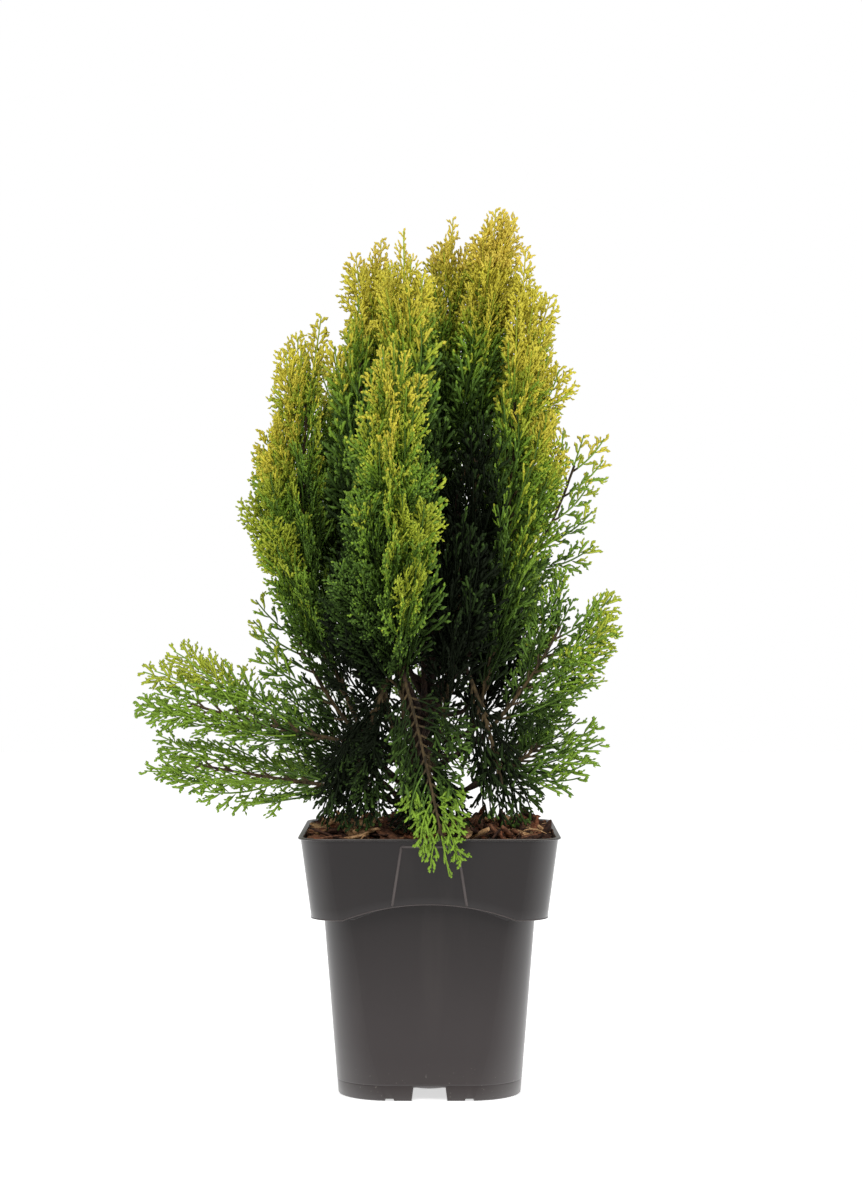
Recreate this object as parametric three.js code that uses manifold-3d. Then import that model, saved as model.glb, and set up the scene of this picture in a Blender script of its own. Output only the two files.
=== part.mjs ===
// Golden thuja (an upright, many-stemmed young conifer) in a square nursery pot.
// Millimetres, +Z up, origin at the centre of the pot's underside, on the surface it stands on.
// Bearings run anticlockwise seen from above: 0 is the right (+X), 90 the back (+Y), 270 the front (-Y).

import * as THREE from "three";
import { mergeVertices } from "three/addons/utils/BufferGeometryUtils.js";
import Module from "manifold-3d";

const wasm = await Module();
wasm.setup();

// ---------- Driving dimensions ----------

const GAP = 0.3; // clearance where two pieces meet

const POT = {
  height: 172,
  rimWidth: 170,
  rimCorner: 20,
  lipHeight: 2.4,
  collarTopWidth: 167,
  collarFootWidth: 153.5,
  collarFootHeight: 118.5,
  collarFootCorner: 21,
  collarArchRise: 10.5,
  bodyTopWidth: 137.4,
  bodyTopCorner: 20,
  creaseHeight: 34,
  creaseWidth: 125,
  creaseCorner: 27,
  footWidth: 120.5,
  footCorner: 36,
  wall: 1.8,
  floorHeight: 9,
};

const NOTCH = { width: 23, height: 8.6, slant: 1.6, slotWidth: 5.5, slotHeight: 1.3, slotOffset: 26 };
const FOOT_PAD = { radius: 14, sides: 12 };
const LABEL_PANEL = { topWidth: 36, footWidth: 48, top: 167, rib: 1.1, proud: 0.9 };

const SOIL = { top: 167 };
const BARK = { count: 9, seed: 21, longest: 30, shortest: 14, thickness: 3.2, ring: 70 };

const TRUNK = {
  foot: { bearing: 165, out: 15 },
  top: { bearing: 24, out: 22, height: 398 },
  lean: 6,
  footRadius: 5.6,
  topRadius: 2,
  flareRadius: 8.5,
  flareHeight: 16,
  sides: 9,
  steps: 11,
};

const BOUGH = { sides: 4, steps: 4, tipRadius: 1.5, thicken: 0.014, rise: 0.45 };
const STEM = { sides: 4, steps: 4, short: 1, share: 0.8, tipRadius: 0.9, bulge: 0.05 };

const SPRAY = {
  thickness: 2.6,
  rootHalfWidth: 0.5,
  rootThickness: 0.7,
  neckHalfWidth: 1.4,
  teeth: 3,
  toothAngle: 38,
  toothShare: 0.42,
  endShare: 0.35,
  webDepth: 0.4,
  bareShare: 0.14,
  widthShare: 0.38,
  narrowing: [1.1, 0.85], // of the width, at the foot and at the tip of an upright plume
  tries: 5,
  shrink: 0.93,
  tuck: 0.8,
  stations: 6,
};

const CLEAR = { cell: 1.6, limb: 1.7, rim: 3 };

// Each plume is one mass of foliage: a stem from its foot to its tip, given as [bearing, out, height],
// and the height where its bough leaves the trunk. The first goes on from the trunk's own tip.
// reach: its longest spray. fan: how far round the stem its sprays turn, to either side.
// bulge: how far its stem bows out, as a share of its length, where it differs from the others.
// turn: how far its two ranks of sprays are turned from over and under its stem.
// lean: how far its sprays lean from the stem, in degrees, first at its foot and last at its tip.
// finer: the rule's sprays for each one that is cut here as a blade.
// leader: how wide the spray is that its stem ends in, as a share of that spray's length.
const growing = (kind) => (name, leaves, foot, tip, growth) =>
  ({ name, leaves, foot, tip, bulge: STEM.bulge, turn: 0, ...kind, ...growth });
const upright = growing({ level: false, lean: [48, 28], finer: 11, leader: 0.2 });
const level = growing({ level: true, lean: [60, 34], finer: 3, leader: 0.32 });
const PLUMES = [
  upright("crown_right", TRUNK.top.height, [24, 22, 398], [2, 44, 587], {
    blades: 6, reach: 80, fan: 180,
  }),
  upright("crown_left", 258, [172, 24, 306], [182, 32, 566], { blades: 6, reach: 88, fan: 180 }),
  upright("crown_middle", 284, [86, 22, 336], [45, 22, 583], { blades: 5, reach: 86, fan: 180 }),
  upright("crown_front", 256, [256, 20, 304], [242, 36, 568], { blades: 6, reach: 84, fan: 180 }),
  upright("right_shoulder", 272, [356, 30, 318], [358, 64, 560], { blades: 5, reach: 72, fan: 150 }),
  upright("left_shoulder", 267, [204, 30, 294], [200, 50, 526], { blades: 5, reach: 74, fan: 150 }),
  upright("left_plume", 222, [186, 46, 238], [180, 72, 515], {
    blades: 6, reach: 82, fan: 140, bulge: 0.18,
  }),
  upright("front_plume", 224, [242, 36, 244], [253, 78, 494], { blades: 6, reach: 82, fan: 120 }),
  upright("right_plume", 226, [342, 34, 246], [344, 60, 520], { blades: 6, reach: 80, fan: 140 }),
  upright("back_left_plume", 240, [142, 38, 250], [136, 72, 512], { blades: 5, reach: 88, fan: 140 }),
  upright("back_plume", 226, [88, 36, 246], [94, 72, 540], { blades: 5, reach: 92, fan: 140 }),
  upright("back_right_plume", 246, [44, 38, 256], [50, 64, 520], { blades: 4, reach: 84, fan: 140 }),
  upright("inner_left", 213, [218, 26, 222], [224, 56, 352], { blades: 4, reach: 80, fan: 180 }),
  upright("inner_front", 216, [290, 24, 240], [296, 46, 372], { blades: 4, reach: 76, fan: 180 }),
  upright("inner_right_front", 260, [322, 22, 286], [322, 40, 450], { blades: 4, reach: 66, fan: 180 }),
  upright("inner_right", 219, [22, 26, 226], [26, 52, 362], { blades: 4, reach: 76, fan: 180 }),
  level("right_shoot", 251, [4, 60, 338], [4, 104, 436], { blades: 3, reach: 50, fan: 30 }),
  level("middle_left_spray", 210, [174, 52, 238], [179, 100, 326], { blades: 4, reach: 60, fan: 34 }),
  level("upper_left_spray", 197, [198, 62, 232], [188, 184, 264], { blades: 5, reach: 74, fan: 14 }),
  level("lower_left_spray", 184, [208, 54, 200], [190, 182, 222], { blades: 5, reach: 72, fan: 14 }),
  level("upper_right_spray", 206, [323, 50, 240], [338, 102, 326], { blades: 4, reach: 72, fan: 18 }),
  level("lower_right_spray", 188, [328, 46, 206], [338, 86, 236], { blades: 5, reach: 64, fan: 18 }),
  level("front_droop", 246, [256, 64, 272], [277, 104, 150], {
    blades: 6, reach: 42, fan: 14, turn: 90, finer: 5,
  }),
  level("front_left_skirt", 234, [234, 44, 276], [230, 82, 186], {
    blades: 5, reach: 72, fan: 24, turn: 90, finer: 5,
  }),
  level("front_skirt", 203, [270, 32, 224], [270, 64, 192], {
    blades: 5, reach: 64, fan: 30, turn: 90, finer: 5,
  }),
  level("front_right_skirt", 239, [308, 42, 276], [312, 76, 186], {
    blades: 4, reach: 72, fan: 24, turn: 90, finer: 5,
  }),
  level("back_left_skirt", 180, [142, 38, 200], [138, 100, 240], {
    blades: 4, reach: 82, fan: 80, finer: 5,
  }),
  level("back_skirt", 192, [84, 34, 206], [88, 100, 244], { blades: 4, reach: 82, fan: 80, finer: 5 }),
  level("back_right_skirt", 176, [34, 40, 202], [36, 88, 236], {
    blades: 4, reach: 66, fan: 80, finer: 5,
  }),
];

// ---------- Materials ----------

const finish = (color, roughness) => new THREE.MeshStandardMaterial({ color, roughness, metalness: 0 });
const POT_PLASTIC = finish(0x3d3736, 0.5);
const POTTING_SOIL = finish(0x3a241a, 0.95);
const BARK_SKIN = finish(0x6a4632, 0.9);
const FOLIAGE_GOLD = finish(0xa5a02c, 0.7);
const FOLIAGE_GREEN = finish(0x4f7a26, 0.7);
const FOLIAGE_DEEP = finish(0x2c4a22, 0.75);

// ---------- Helpers ----------

const radians = THREE.MathUtils.degToRad;
const lerp = THREE.MathUtils.lerp;
const fraction = (value) => value - Math.floor(value);
const UP = new THREE.Vector3(0, 0, 1);

// A point given by its bearing, its distance out from the pot's axis and its height.
function polar([bearing, out, height]) {
  return new THREE.Vector3(out * Math.cos(radians(bearing)), out * Math.sin(radians(bearing)), height);
}

// A repeatable stream of numbers from 0 to 1.
function seeded(seed) {
  let state = seed | 0;
  return () => {
    state = (state + 0x6d2b79f5) | 0;
    let mixed = Math.imul(state ^ (state >>> 15), 1 | state);
    mixed = (mixed + Math.imul(mixed ^ (mixed >>> 7), 61 | mixed)) ^ mixed;
    return ((mixed ^ (mixed >>> 14)) >>> 0) / 4294967296;
  };
}

function toSolid(geometry) {
  const bare = geometry.clone();
  bare.deleteAttribute("normal");
  bare.deleteAttribute("uv");
  const merged = mergeVertices(bare, 1e-4);
  const vertProperties = new Float32Array(merged.attributes.position.array);
  const triVerts = new Uint32Array(merged.index.array);
  return new wasm.Manifold(new wasm.Mesh({ numProp: 3, vertProperties, triVerts }));
}

function toGeometry(solid) {
  const { vertProperties, triVerts } = solid.getMesh();
  const geometry = new THREE.BufferGeometry();
  geometry.setAttribute("position", new THREE.BufferAttribute(vertProperties, 3));
  geometry.setIndex(new THREE.BufferAttribute(triVerts, 1));
  geometry.computeVertexNormals();
  return geometry;
}

function piece(name, solid, material) {
  const mesh = new THREE.Mesh(toGeometry(solid), material);
  mesh.name = name;
  return mesh;
}

// A closed skin over rings that all hold the same number of points, anticlockwise seen from the last ring.
function loft(rings) {
  const sides = rings[0].length;
  const corners = rings.flat();
  const faces = [];
  for (let ring = 0; ring + 1 < rings.length; ring++) {
    for (let side = 0; side < sides; side++) {
      const next = (side + 1) % sides;
      const [a, b] = [ring * sides + side, ring * sides + next];
      faces.push(a, b, b + sides, a, b + sides, a + sides);
    }
  }
  const last = (rings.length - 1) * sides;
  for (let side = 1; side + 1 < sides; side++) {
    faces.push(0, side + 1, side, last, last + side, last + side + 1);
  }
  const geometry = new THREE.BufferGeometry().setFromPoints(corners);
  geometry.setIndex(faces);
  return toSolid(geometry);
}

// A round limb along a curve, with its radius given for each share of the way. It may stop short.
function limb(curve, radiusAt, { sides, steps, short = 0 }) {
  const { normals, binormals } = curve.computeFrenetFrames(steps + short, false);
  const rings = Array.from({ length: steps + 1 }, (_, step) => {
    const centre = curve.getPointAt(step / (steps + short));
    return Array.from({ length: sides }, (_, side) => {
      const turn = (2 * Math.PI * side) / sides;
      return centre
        .clone()
        .addScaledVector(normals[step], radiusAt(step / steps) * Math.cos(turn))
        .addScaledVector(binormals[step], radiusAt(step / steps) * Math.sin(turn));
    });
  });
  return loft(rings);
}

// ---------- Pot ----------

function roundedSquare(width, corner) {
  const shape = new THREE.Shape();
  const inner = width / 2 - corner;
  for (let quarter = 0; quarter < 4; quarter++) {
    const middle = Math.PI / 4 + (quarter * Math.PI) / 2;
    const [x, y] = [Math.SQRT2 * inner * Math.cos(middle), Math.SQRT2 * inner * Math.sin(middle)];
    shape.absarc(x, y, corner, middle - Math.PI / 4, middle + Math.PI / 4, false);
  }
  return shape;
}

function squareRing(width, corner, height) {
  const outline = roundedSquare(width, corner).getPoints(2);
  const ring = outline.map(({ x, y }) => new THREE.Vector3(x, y, height));
  return ring.filter((point, index) => index === 0 || point.distanceTo(ring[index - 1]) > 1e-6);
}

function block(width, depth, height, x, y, z) {
  return toSolid(new THREE.BoxGeometry(width, depth, height).translate(x, y, z));
}

function onFourSides(makeOne) {
  return [0, 1, 2, 3].map((quarter) => toSolid(makeOne().rotateZ((quarter * Math.PI) / 2)));
}

// The space under the collar's lower edge, which rises in an arch at the middle of each side.
function collarArches(lift) {
  const halfSide = POT.rimWidth / 2;
  const archHalf = POT.collarFootWidth / 2 - POT.collarFootCorner;
  const arch = new THREE.Shape();
  arch.moveTo(-archHalf, -1);
  arch.lineTo(-archHalf, 0);
  arch.quadraticCurveTo(0, 2 * POT.collarArchRise, archHalf, 0);
  arch.lineTo(archHalf, -1);
  return onFourSides(() =>
    new THREE.ExtrudeGeometry(arch, { depth: halfSide, bevelEnabled: false, curveSegments: 5 })
      .rotateX(Math.PI / 2)
      .translate(0, 0, POT.collarFootHeight + lift),
  );
}

// The body below the collar, inset by a wall's thickness where it is the inside.
function potBody(inset, top, foot) {
  const { bodyTopWidth, bodyTopCorner, creaseWidth, creaseCorner, creaseHeight, footWidth, footCorner } = POT;
  const share = (height) => (height - creaseHeight) / (POT.collarFootHeight - creaseHeight);
  const upper = (height) =>
    squareRing(
      lerp(creaseWidth, bodyTopWidth, share(height)) - 2 * inset,
      lerp(creaseCorner, bodyTopCorner, share(height)) - inset,
      height,
    );
  const soften = foot > 0 ? [] : [squareRing(footWidth - 2.4, footCorner - 1.2, 0)];
  const lowest = squareRing(footWidth - 2 * inset, footCorner - inset, foot > 0 ? foot : 1.2);
  return loft([...soften, lowest, upper(creaseHeight), upper(top)]);
}

function potCollar(inset, foot) {
  const corner = POT.collarFootCorner - inset;
  const lowest = squareRing(POT.collarFootWidth - 2 * inset, corner, foot);
  const top = POT.height + (inset > 0 ? 1 : 0);
  return loft([lowest, squareRing(POT.collarTopWidth - 2 * inset, POT.rimCorner - inset, top)]);
}

function potLip() {
  const underside = POT.height - POT.lipHeight;
  return loft([
    squareRing(POT.collarTopWidth - 0.4, POT.rimCorner, underside - 1),
    squareRing(POT.rimWidth, POT.rimCorner, underside + 0.6),
    squareRing(POT.rimWidth, POT.rimCorner, POT.height - 0.8),
    squareRing(POT.rimWidth - 1.6, POT.rimCorner - 0.8, POT.height),
  ]);
}

// Raised ribs round a bare place for a label, on the front of the collar.
function labelRibs() {
  const low = POT.collarFootHeight + POT.collarArchRise - 1;
  const slope = (POT.collarTopWidth - POT.collarFootWidth) / 2 / (POT.height - POT.collarFootHeight);
  const face = (height) => POT.collarFootWidth / 2 + slope * (height - POT.collarFootHeight);
  const rib = (from, to) => {
    const path = new THREE.LineCurve3(from, to);
    return limb(path, () => LABEL_PANEL.rib, { sides: 6, steps: 1 });
  };
  const sunk = LABEL_PANEL.rib - LABEL_PANEL.proud;
  const place = (x, height) => new THREE.Vector3(x, sunk - face(height), height);
  const [topHalf, footHalf] = [LABEL_PANEL.topWidth / 2, LABEL_PANEL.footWidth / 2];
  const [topLeft, topRight] = [place(-topHalf, LABEL_PANEL.top), place(topHalf, LABEL_PANEL.top)];
  return [rib(place(-footHalf, low), topLeft), rib(place(footHalf, low), topRight), rib(topLeft, topRight)];
}

// Drainage openings in the foot: a wide notch and two low slots on each side.
function footNotches() {
  const notch = new THREE.Shape();
  notch.moveTo(-NOTCH.width / 2, -1);
  notch.lineTo(NOTCH.width / 2, -1);
  notch.lineTo(NOTCH.width / 2 - NOTCH.slant, NOTCH.height);
  notch.lineTo(-NOTCH.width / 2 + NOTCH.slant, NOTCH.height);
  const depth = POT.footWidth / 2;
  const wide = onFourSides(() =>
    new THREE.ExtrudeGeometry(notch, { depth, bevelEnabled: false })
      .rotateX(Math.PI / 2)
      .translate(0, -FOOT_PAD.radius - 6, 0),
  );
  const slot = (x) =>
    onFourSides(() =>
      new THREE.BoxGeometry(NOTCH.slotWidth, 30, 2 * NOTCH.slotHeight).translate(x, -depth, 0),
    );
  return [...wide, ...slot(-NOTCH.slotOffset), ...slot(NOTCH.slotOffset)];
}

function footRecess() {
  const ring = 5;
  const recess = loft([
    squareRing(POT.footWidth - 2 * ring, POT.footCorner - ring, -1),
    squareRing(POT.footWidth - 2 * ring, POT.footCorner - ring, POT.floorHeight),
  ]);
  const pad = toSolid(
    new THREE.CylinderGeometry(FOOT_PAD.radius, FOOT_PAD.radius, POT.floorHeight + 2, FOOT_PAD.sides)
      .rotateX(Math.PI / 2)
      .translate(0, 0, POT.floorHeight / 2 - 1),
  );
  return recess.subtract(pad);
}

function makePot() {
  const innerLedge = POT.collarFootHeight + POT.wall;
  let outside = potCollar(0, POT.collarFootHeight);
  collarArches(0).forEach((arch) => (outside = outside.subtract(arch)));
  outside = outside.add(potLip()).add(potBody(0, POT.collarFootHeight + POT.collarArchRise + 2, 0));
  labelRibs().forEach((rib) => (outside = outside.add(rib)));
  let inside = potCollar(POT.wall, innerLedge);
  collarArches(POT.wall).forEach((arch) => (inside = inside.subtract(arch)));
  inside = inside.add(potBody(POT.wall, innerLedge + POT.collarArchRise + 4, POT.floorHeight + POT.wall));
  let pot = outside.subtract(inside).subtract(footRecess());
  footNotches().forEach((notch) => (pot = pot.subtract(notch)));
  return pot;
}

// ---------- Soil and bark mulch ----------

function barkChip(random) {
  const length = lerp(BARK.shortest, BARK.longest, random());
  const width = length * lerp(0.3, 0.55, random());
  const chip = new THREE.BoxGeometry(length, width, BARK.thickness * lerp(0.8, 1.4, random()));
  const place = chip.attributes.position;
  for (let corner = 0; corner < place.count; corner++) {
    const narrow = place.getX(corner) > 0 ? 0.55 : 1;
    place.setY(corner, place.getY(corner) * narrow);
  }
  const bearing = 360 * random();
  const out = BARK.ring * Math.sqrt(random()) * 0.9 + 4;
  return toSolid(
    chip
      .rotateX(0.5 * (random() - 0.5))
      .rotateY(0.5 * (random() - 0.5))
      .rotateZ(2 * Math.PI * random())
      .translate(...polar([bearing, Math.min(out, BARK.ring), SOIL.top + 1.5]).toArray()),
  );
}

function makeSoil() {
  const inset = POT.wall + GAP;
  const ledge = POT.collarFootHeight + POT.wall + GAP;
  const slope = (SOIL.top - POT.collarFootHeight) / (POT.height - POT.collarFootHeight);
  const topWidth = lerp(POT.collarFootWidth, POT.collarTopWidth, slope) - 2 * inset - 0.6;
  let upper = loft([
    squareRing(POT.collarFootWidth - 2 * inset - 0.6, POT.collarFootCorner - inset, ledge),
    squareRing(topWidth, POT.rimCorner - inset, SOIL.top),
  ]);
  collarArches(POT.wall + GAP + 0.3).forEach((arch) => (upper = upper.subtract(arch)));
  let soil = upper.add(potBody(inset, ledge + POT.collarArchRise + 6, POT.floorHeight + POT.wall + GAP));
  const random = seeded(BARK.seed);
  const trunkFoot = polar([TRUNK.foot.bearing, TRUNK.foot.out, 0]);
  for (let made = 0; made < BARK.count; ) {
    const chip = barkChip(random);
    const { min, max } = chip.boundingBox();
    const middle = new THREE.Vector3((min[0] + max[0]) / 2, (min[1] + max[1]) / 2, 0);
    const wide = Math.max(-min[0], max[0], -min[1], max[1]) > topWidth / 2 - 1;
    if (wide || middle.distanceTo(trunkFoot) < TRUNK.flareRadius + BARK.longest / 2) continue;
    soil = soil.add(chip);
    made += 1;
  }
  return soil;
}

// ---------- Trunk and boughs ----------

const soilPoint = polar([TRUNK.foot.bearing, TRUNK.foot.out, SOIL.top + GAP]);
const trunkTop = polar([TRUNK.top.bearing, TRUNK.top.out, TRUNK.top.height]);
const trunkCurve = new THREE.CatmullRomCurve3([
  soilPoint,
  soilPoint.clone().lerp(trunkTop, 0.3).add(new THREE.Vector3(-TRUNK.lean / 2, TRUNK.lean / 2, 0)),
  soilPoint.clone().lerp(trunkTop, 0.68).add(new THREE.Vector3(TRUNK.lean / 2, TRUNK.lean / 2, 0)),
  trunkTop,
]);

function trunkRadius(share) {
  const height = share * (TRUNK.top.height - SOIL.top);
  const flare = Math.max(0, 1 - height / TRUNK.flareHeight) ** 2 * (TRUNK.flareRadius - TRUNK.footRadius);
  return lerp(TRUNK.footRadius, TRUNK.topRadius, share ** 0.8) + flare;
}

// The trunk, or a slightly fatter one that cuts room for it. Its foot is cut flat on the soil.
function makeTrunk(extra) {
  const trunk = limb(trunkCurve, (share) => trunkRadius(share) + extra, TRUNK);
  const under = block(80, 80, 40, soilPoint.x, soilPoint.y, soilPoint.z - 20);
  return trunk.subtract(under);
}

const footOf = (plume) => polar(plume.foot);
const tipOf = (plume) => polar(plume.tip);
const stemRadius = (plume) => (plume.reach > 50 ? BOUGH.tipRadius : BOUGH.tipRadius * 0.8);

// The stem's line: it leaves the foot outwards and turns up, or down where the plume hangs.
function stemCurve(plume) {
  const [foot, tip] = [footOf(plume), tipOf(plume)];
  const bend = foot.clone().lerp(tip, 0.5);
  bend.z -= 0.1 * (tip.z - foot.z);
  const bulge = plume.bulge * foot.distanceTo(tip);
  bend.addScaledVector(new THREE.Vector3(bend.x, bend.y, 0).normalize(), bulge);
  return new THREE.QuadraticBezierCurve3(foot, bend, tip);
}

// A bough leaves the trunk's middle, swings out and ends facing the stem that goes on from it.
function boughCurve(plume) {
  const share = (plume.leaves - SOIL.top) / (TRUNK.top.height - SOIL.top);
  const start = trunkCurve.getPointAt(share);
  const heading = stemCurve(plume).getTangentAt(0);
  const end = footOf(plume).addScaledVector(heading, -GAP);
  const length = start.distanceTo(end);
  const early = start.clone().lerp(end, 0.4);
  early.z = lerp(start.z, end.z, BOUGH.rise * 0.7);
  return new THREE.CubicBezierCurve3(start, early, end.clone().addScaledVector(heading, -length * 0.3), end);
}

function boughRadius(plume, share) {
  const thick = stemRadius(plume) + boughCurve(plume).getLength() * BOUGH.thicken;
  return lerp(thick, stemRadius(plume), share);
}

function makeBough(plume, cutter) {
  return limb(boughCurve(plume), (share) => boughRadius(plume, share), BOUGH).subtract(cutter);
}

// ---------- The branching rule ----------

const sample = (curve, count) =>
  Array.from({ length: count + 1 }, (_, step) => curve.getPointAt(step / count));
const plumeLines = PLUMES.map((plume) => sample(stemCurve(plume), STEM.steps + STEM.short));
const boughed = PLUMES.slice(1);
const limbLines = [
  { line: sample(trunkCurve, 16), radius: trunkRadius },
  ...boughed.map((plume) => ({
    line: sample(boughCurve(plume), 12),
    radius: (share) => boughRadius(plume, share),
  })),
];

// A place on a chain of points, at a share of the way along.
function placeOn(line, share) {
  const step = Math.min(Math.floor(share * (line.length - 1)), line.length - 2);
  return line[step].clone().lerp(line[step + 1], share * (line.length - 1) - step);
}

// The nearest place on a chain of points: its distance, and its share of the way along.
function nearest(line, point) {
  let best = { distance: Infinity, share: 0 };
  for (let step = 0; step + 1 < line.length; step++) {
    const span = line[step + 1].clone().sub(line[step]);
    const along = THREE.MathUtils.clamp(point.clone().sub(line[step]).dot(span) / span.lengthSq(), 0, 1);
    const distance = point.distanceTo(line[step].clone().addScaledVector(span, along));
    if (distance < best.distance) best = { distance, share: (step + along) / (line.length - 1) };
  }
  return best;
}

// True where a point is nearer to its own plume's stem than to any other, and clear of limbs, pot and soil.
function hasRoom(index, point) {
  const own = nearest(plumeLines[index], point).distance;
  const crowded = plumeLines.some(
    (line, other) => other !== index && nearest(line, point).distance < own + 2 * CLEAR.cell,
  );
  if (crowded) return false;
  const half = POT.rimWidth / 2 + CLEAR.rim;
  const overPot = Math.abs(point.x) < half && Math.abs(point.y) < half;
  if (overPot && point.z < POT.height + CLEAR.rim) return false;
  return limbLines.every(({ line, radius }) => {
    const { distance, share } = nearest(line, point);
    return distance > radius(share) + CLEAR.limb;
  });
}

// How far a side twig stands out from a spray's rib, as a share of the spray's width.
function sprayOutline(share) {
  return Math.sin(Math.PI * (0.12 + 0.84 * share)) ** 0.75;
}

// A place on the spray's rib, in its own plane: the rib is an arc that turns towards the stem's heading.
function ribPoint(spray, distance) {
  const turn = (spray.curl * distance) / spray.length;
  const bow = spray.length / spray.curl;
  return { x: bow * Math.sin(turn), y: bow * (1 - Math.cos(turn)), turn };
}

// A place beside the rib, out along a side twig: depth is its share of the side twig's length.
function besideRib(spray, share, side, depth) {
  const { x, y, turn } = ribPoint(spray, lerp(SPRAY.bareShare, 1, share) * spray.length);
  const heading = turn + side * radians(SPRAY.toothAngle);
  const out = depth * spray.width * spray.length * sprayOutline(share);
  return { x: x + out * Math.cos(heading), y: y + out * Math.sin(heading) };
}

function inSpace(spray, { x, y }) {
  return spray.root.clone().addScaledVector(spray.along, x).addScaledVector(spray.rise, y);
}

function sprayHasRoom(index, spray) {
  for (let station = 1; station <= SPRAY.stations; station++) {
    const share = station / SPRAY.stations;
    if (!hasRoom(index, inSpace(spray, ribPoint(spray, lerp(0.18, 1, share) * spray.length)))) return false;
    for (const side of [-1, 1]) {
      if (!hasRoom(index, inSpace(spray, besideRib(spray, share, side, 1)))) return false;
    }
  }
  return true;
}

// The sprays of one plume, from its foot to its tip. Each lies in a plane through the stem's heading
// and the way that it leans out, so that the flat sprays stand upright. One that has no room is tucked
// in closer to the stem and shortened, and is left out in the end.
function spraysOf(index) {
  const plume = PLUMES[index];
  const random = seeded(101 + 7 * index);
  const curve = stemCurve(plume);
  const count = plume.blades * plume.finer;
  const sprays = [];
  for (let number = 0; number < count; number++) {
    const share = (number + 0.5) / count;
    const [swingDraw, leanDraw, lengthDraw, rollDraw] = [random(), random(), random(), random()];
    const root = placeOn(plumeLines[index], lerp(0.05, STEM.share, share));
    const heading = curve.getTangentAt(lerp(0.05, STEM.share, share));
    const outward = new THREE.Vector3(root.x, root.y, 0).normalize();
    outward.addScaledVector(heading, -outward.dot(heading)).normalize();
    const rank = plume.turn + (plume.level && number % 2 ? 180 : 0);
    const swing = rank + plume.fan * (2 * fraction(0.5 + 0.618034 * number) - 1) + 16 * (swingDraw - 0.5);
    outward.applyAxisAngle(heading, radians(swing));
    const inner = plume.level ? 1 : lerp(1, 0.72, Math.abs(swing) / 180);
    const width = SPRAY.widthShare * (plume.level ? 1 : lerp(...SPRAY.narrowing, share));
    let lean = radians(lerp(...plume.lean, share) + 14 * (leanDraw - 0.5));
    let length = plume.reach * lerp(0.86, 1.14, lengthDraw) * inner * (1 - 0.45 * share ** 1.5);
    for (let attempt = 0; attempt < SPRAY.tries; attempt++) {
      const along = heading.clone().multiplyScalar(Math.cos(lean)).addScaledVector(outward, Math.sin(lean));
      const rise = heading.clone().addScaledVector(along, -heading.dot(along)).normalize();
      rise.applyAxisAngle(along, radians(50 * (rollDraw - 0.5)));
      const spray = { root, along, rise, curl: radians(lerp(48, 26, share)), length, width, number };
      if (sprayHasRoom(index, spray)) {
        sprays.push(spray);
        break;
      }
      lean *= SPRAY.tuck;
      length *= SPRAY.shrink;
    }
  }
  return sprays;
}

// The spray that the stem ends in, up to the plume's furthest tip.
function leaderOf(index) {
  const root = placeOn(plumeLines[index], STEM.share - 0.04);
  const tip = tipOf(PLUMES[index]);
  const along = tip.clone().sub(root).normalize();
  const outward = new THREE.Vector3(root.x, root.y, 0).normalize();
  const rise = outward.addScaledVector(along, -outward.dot(along)).normalize();
  const width = PLUMES[index].leader;
  return { root, along, rise, curl: radians(1), length: root.distanceTo(tip), width, number: -1 };
}

// ---------- Foliage ----------

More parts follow.
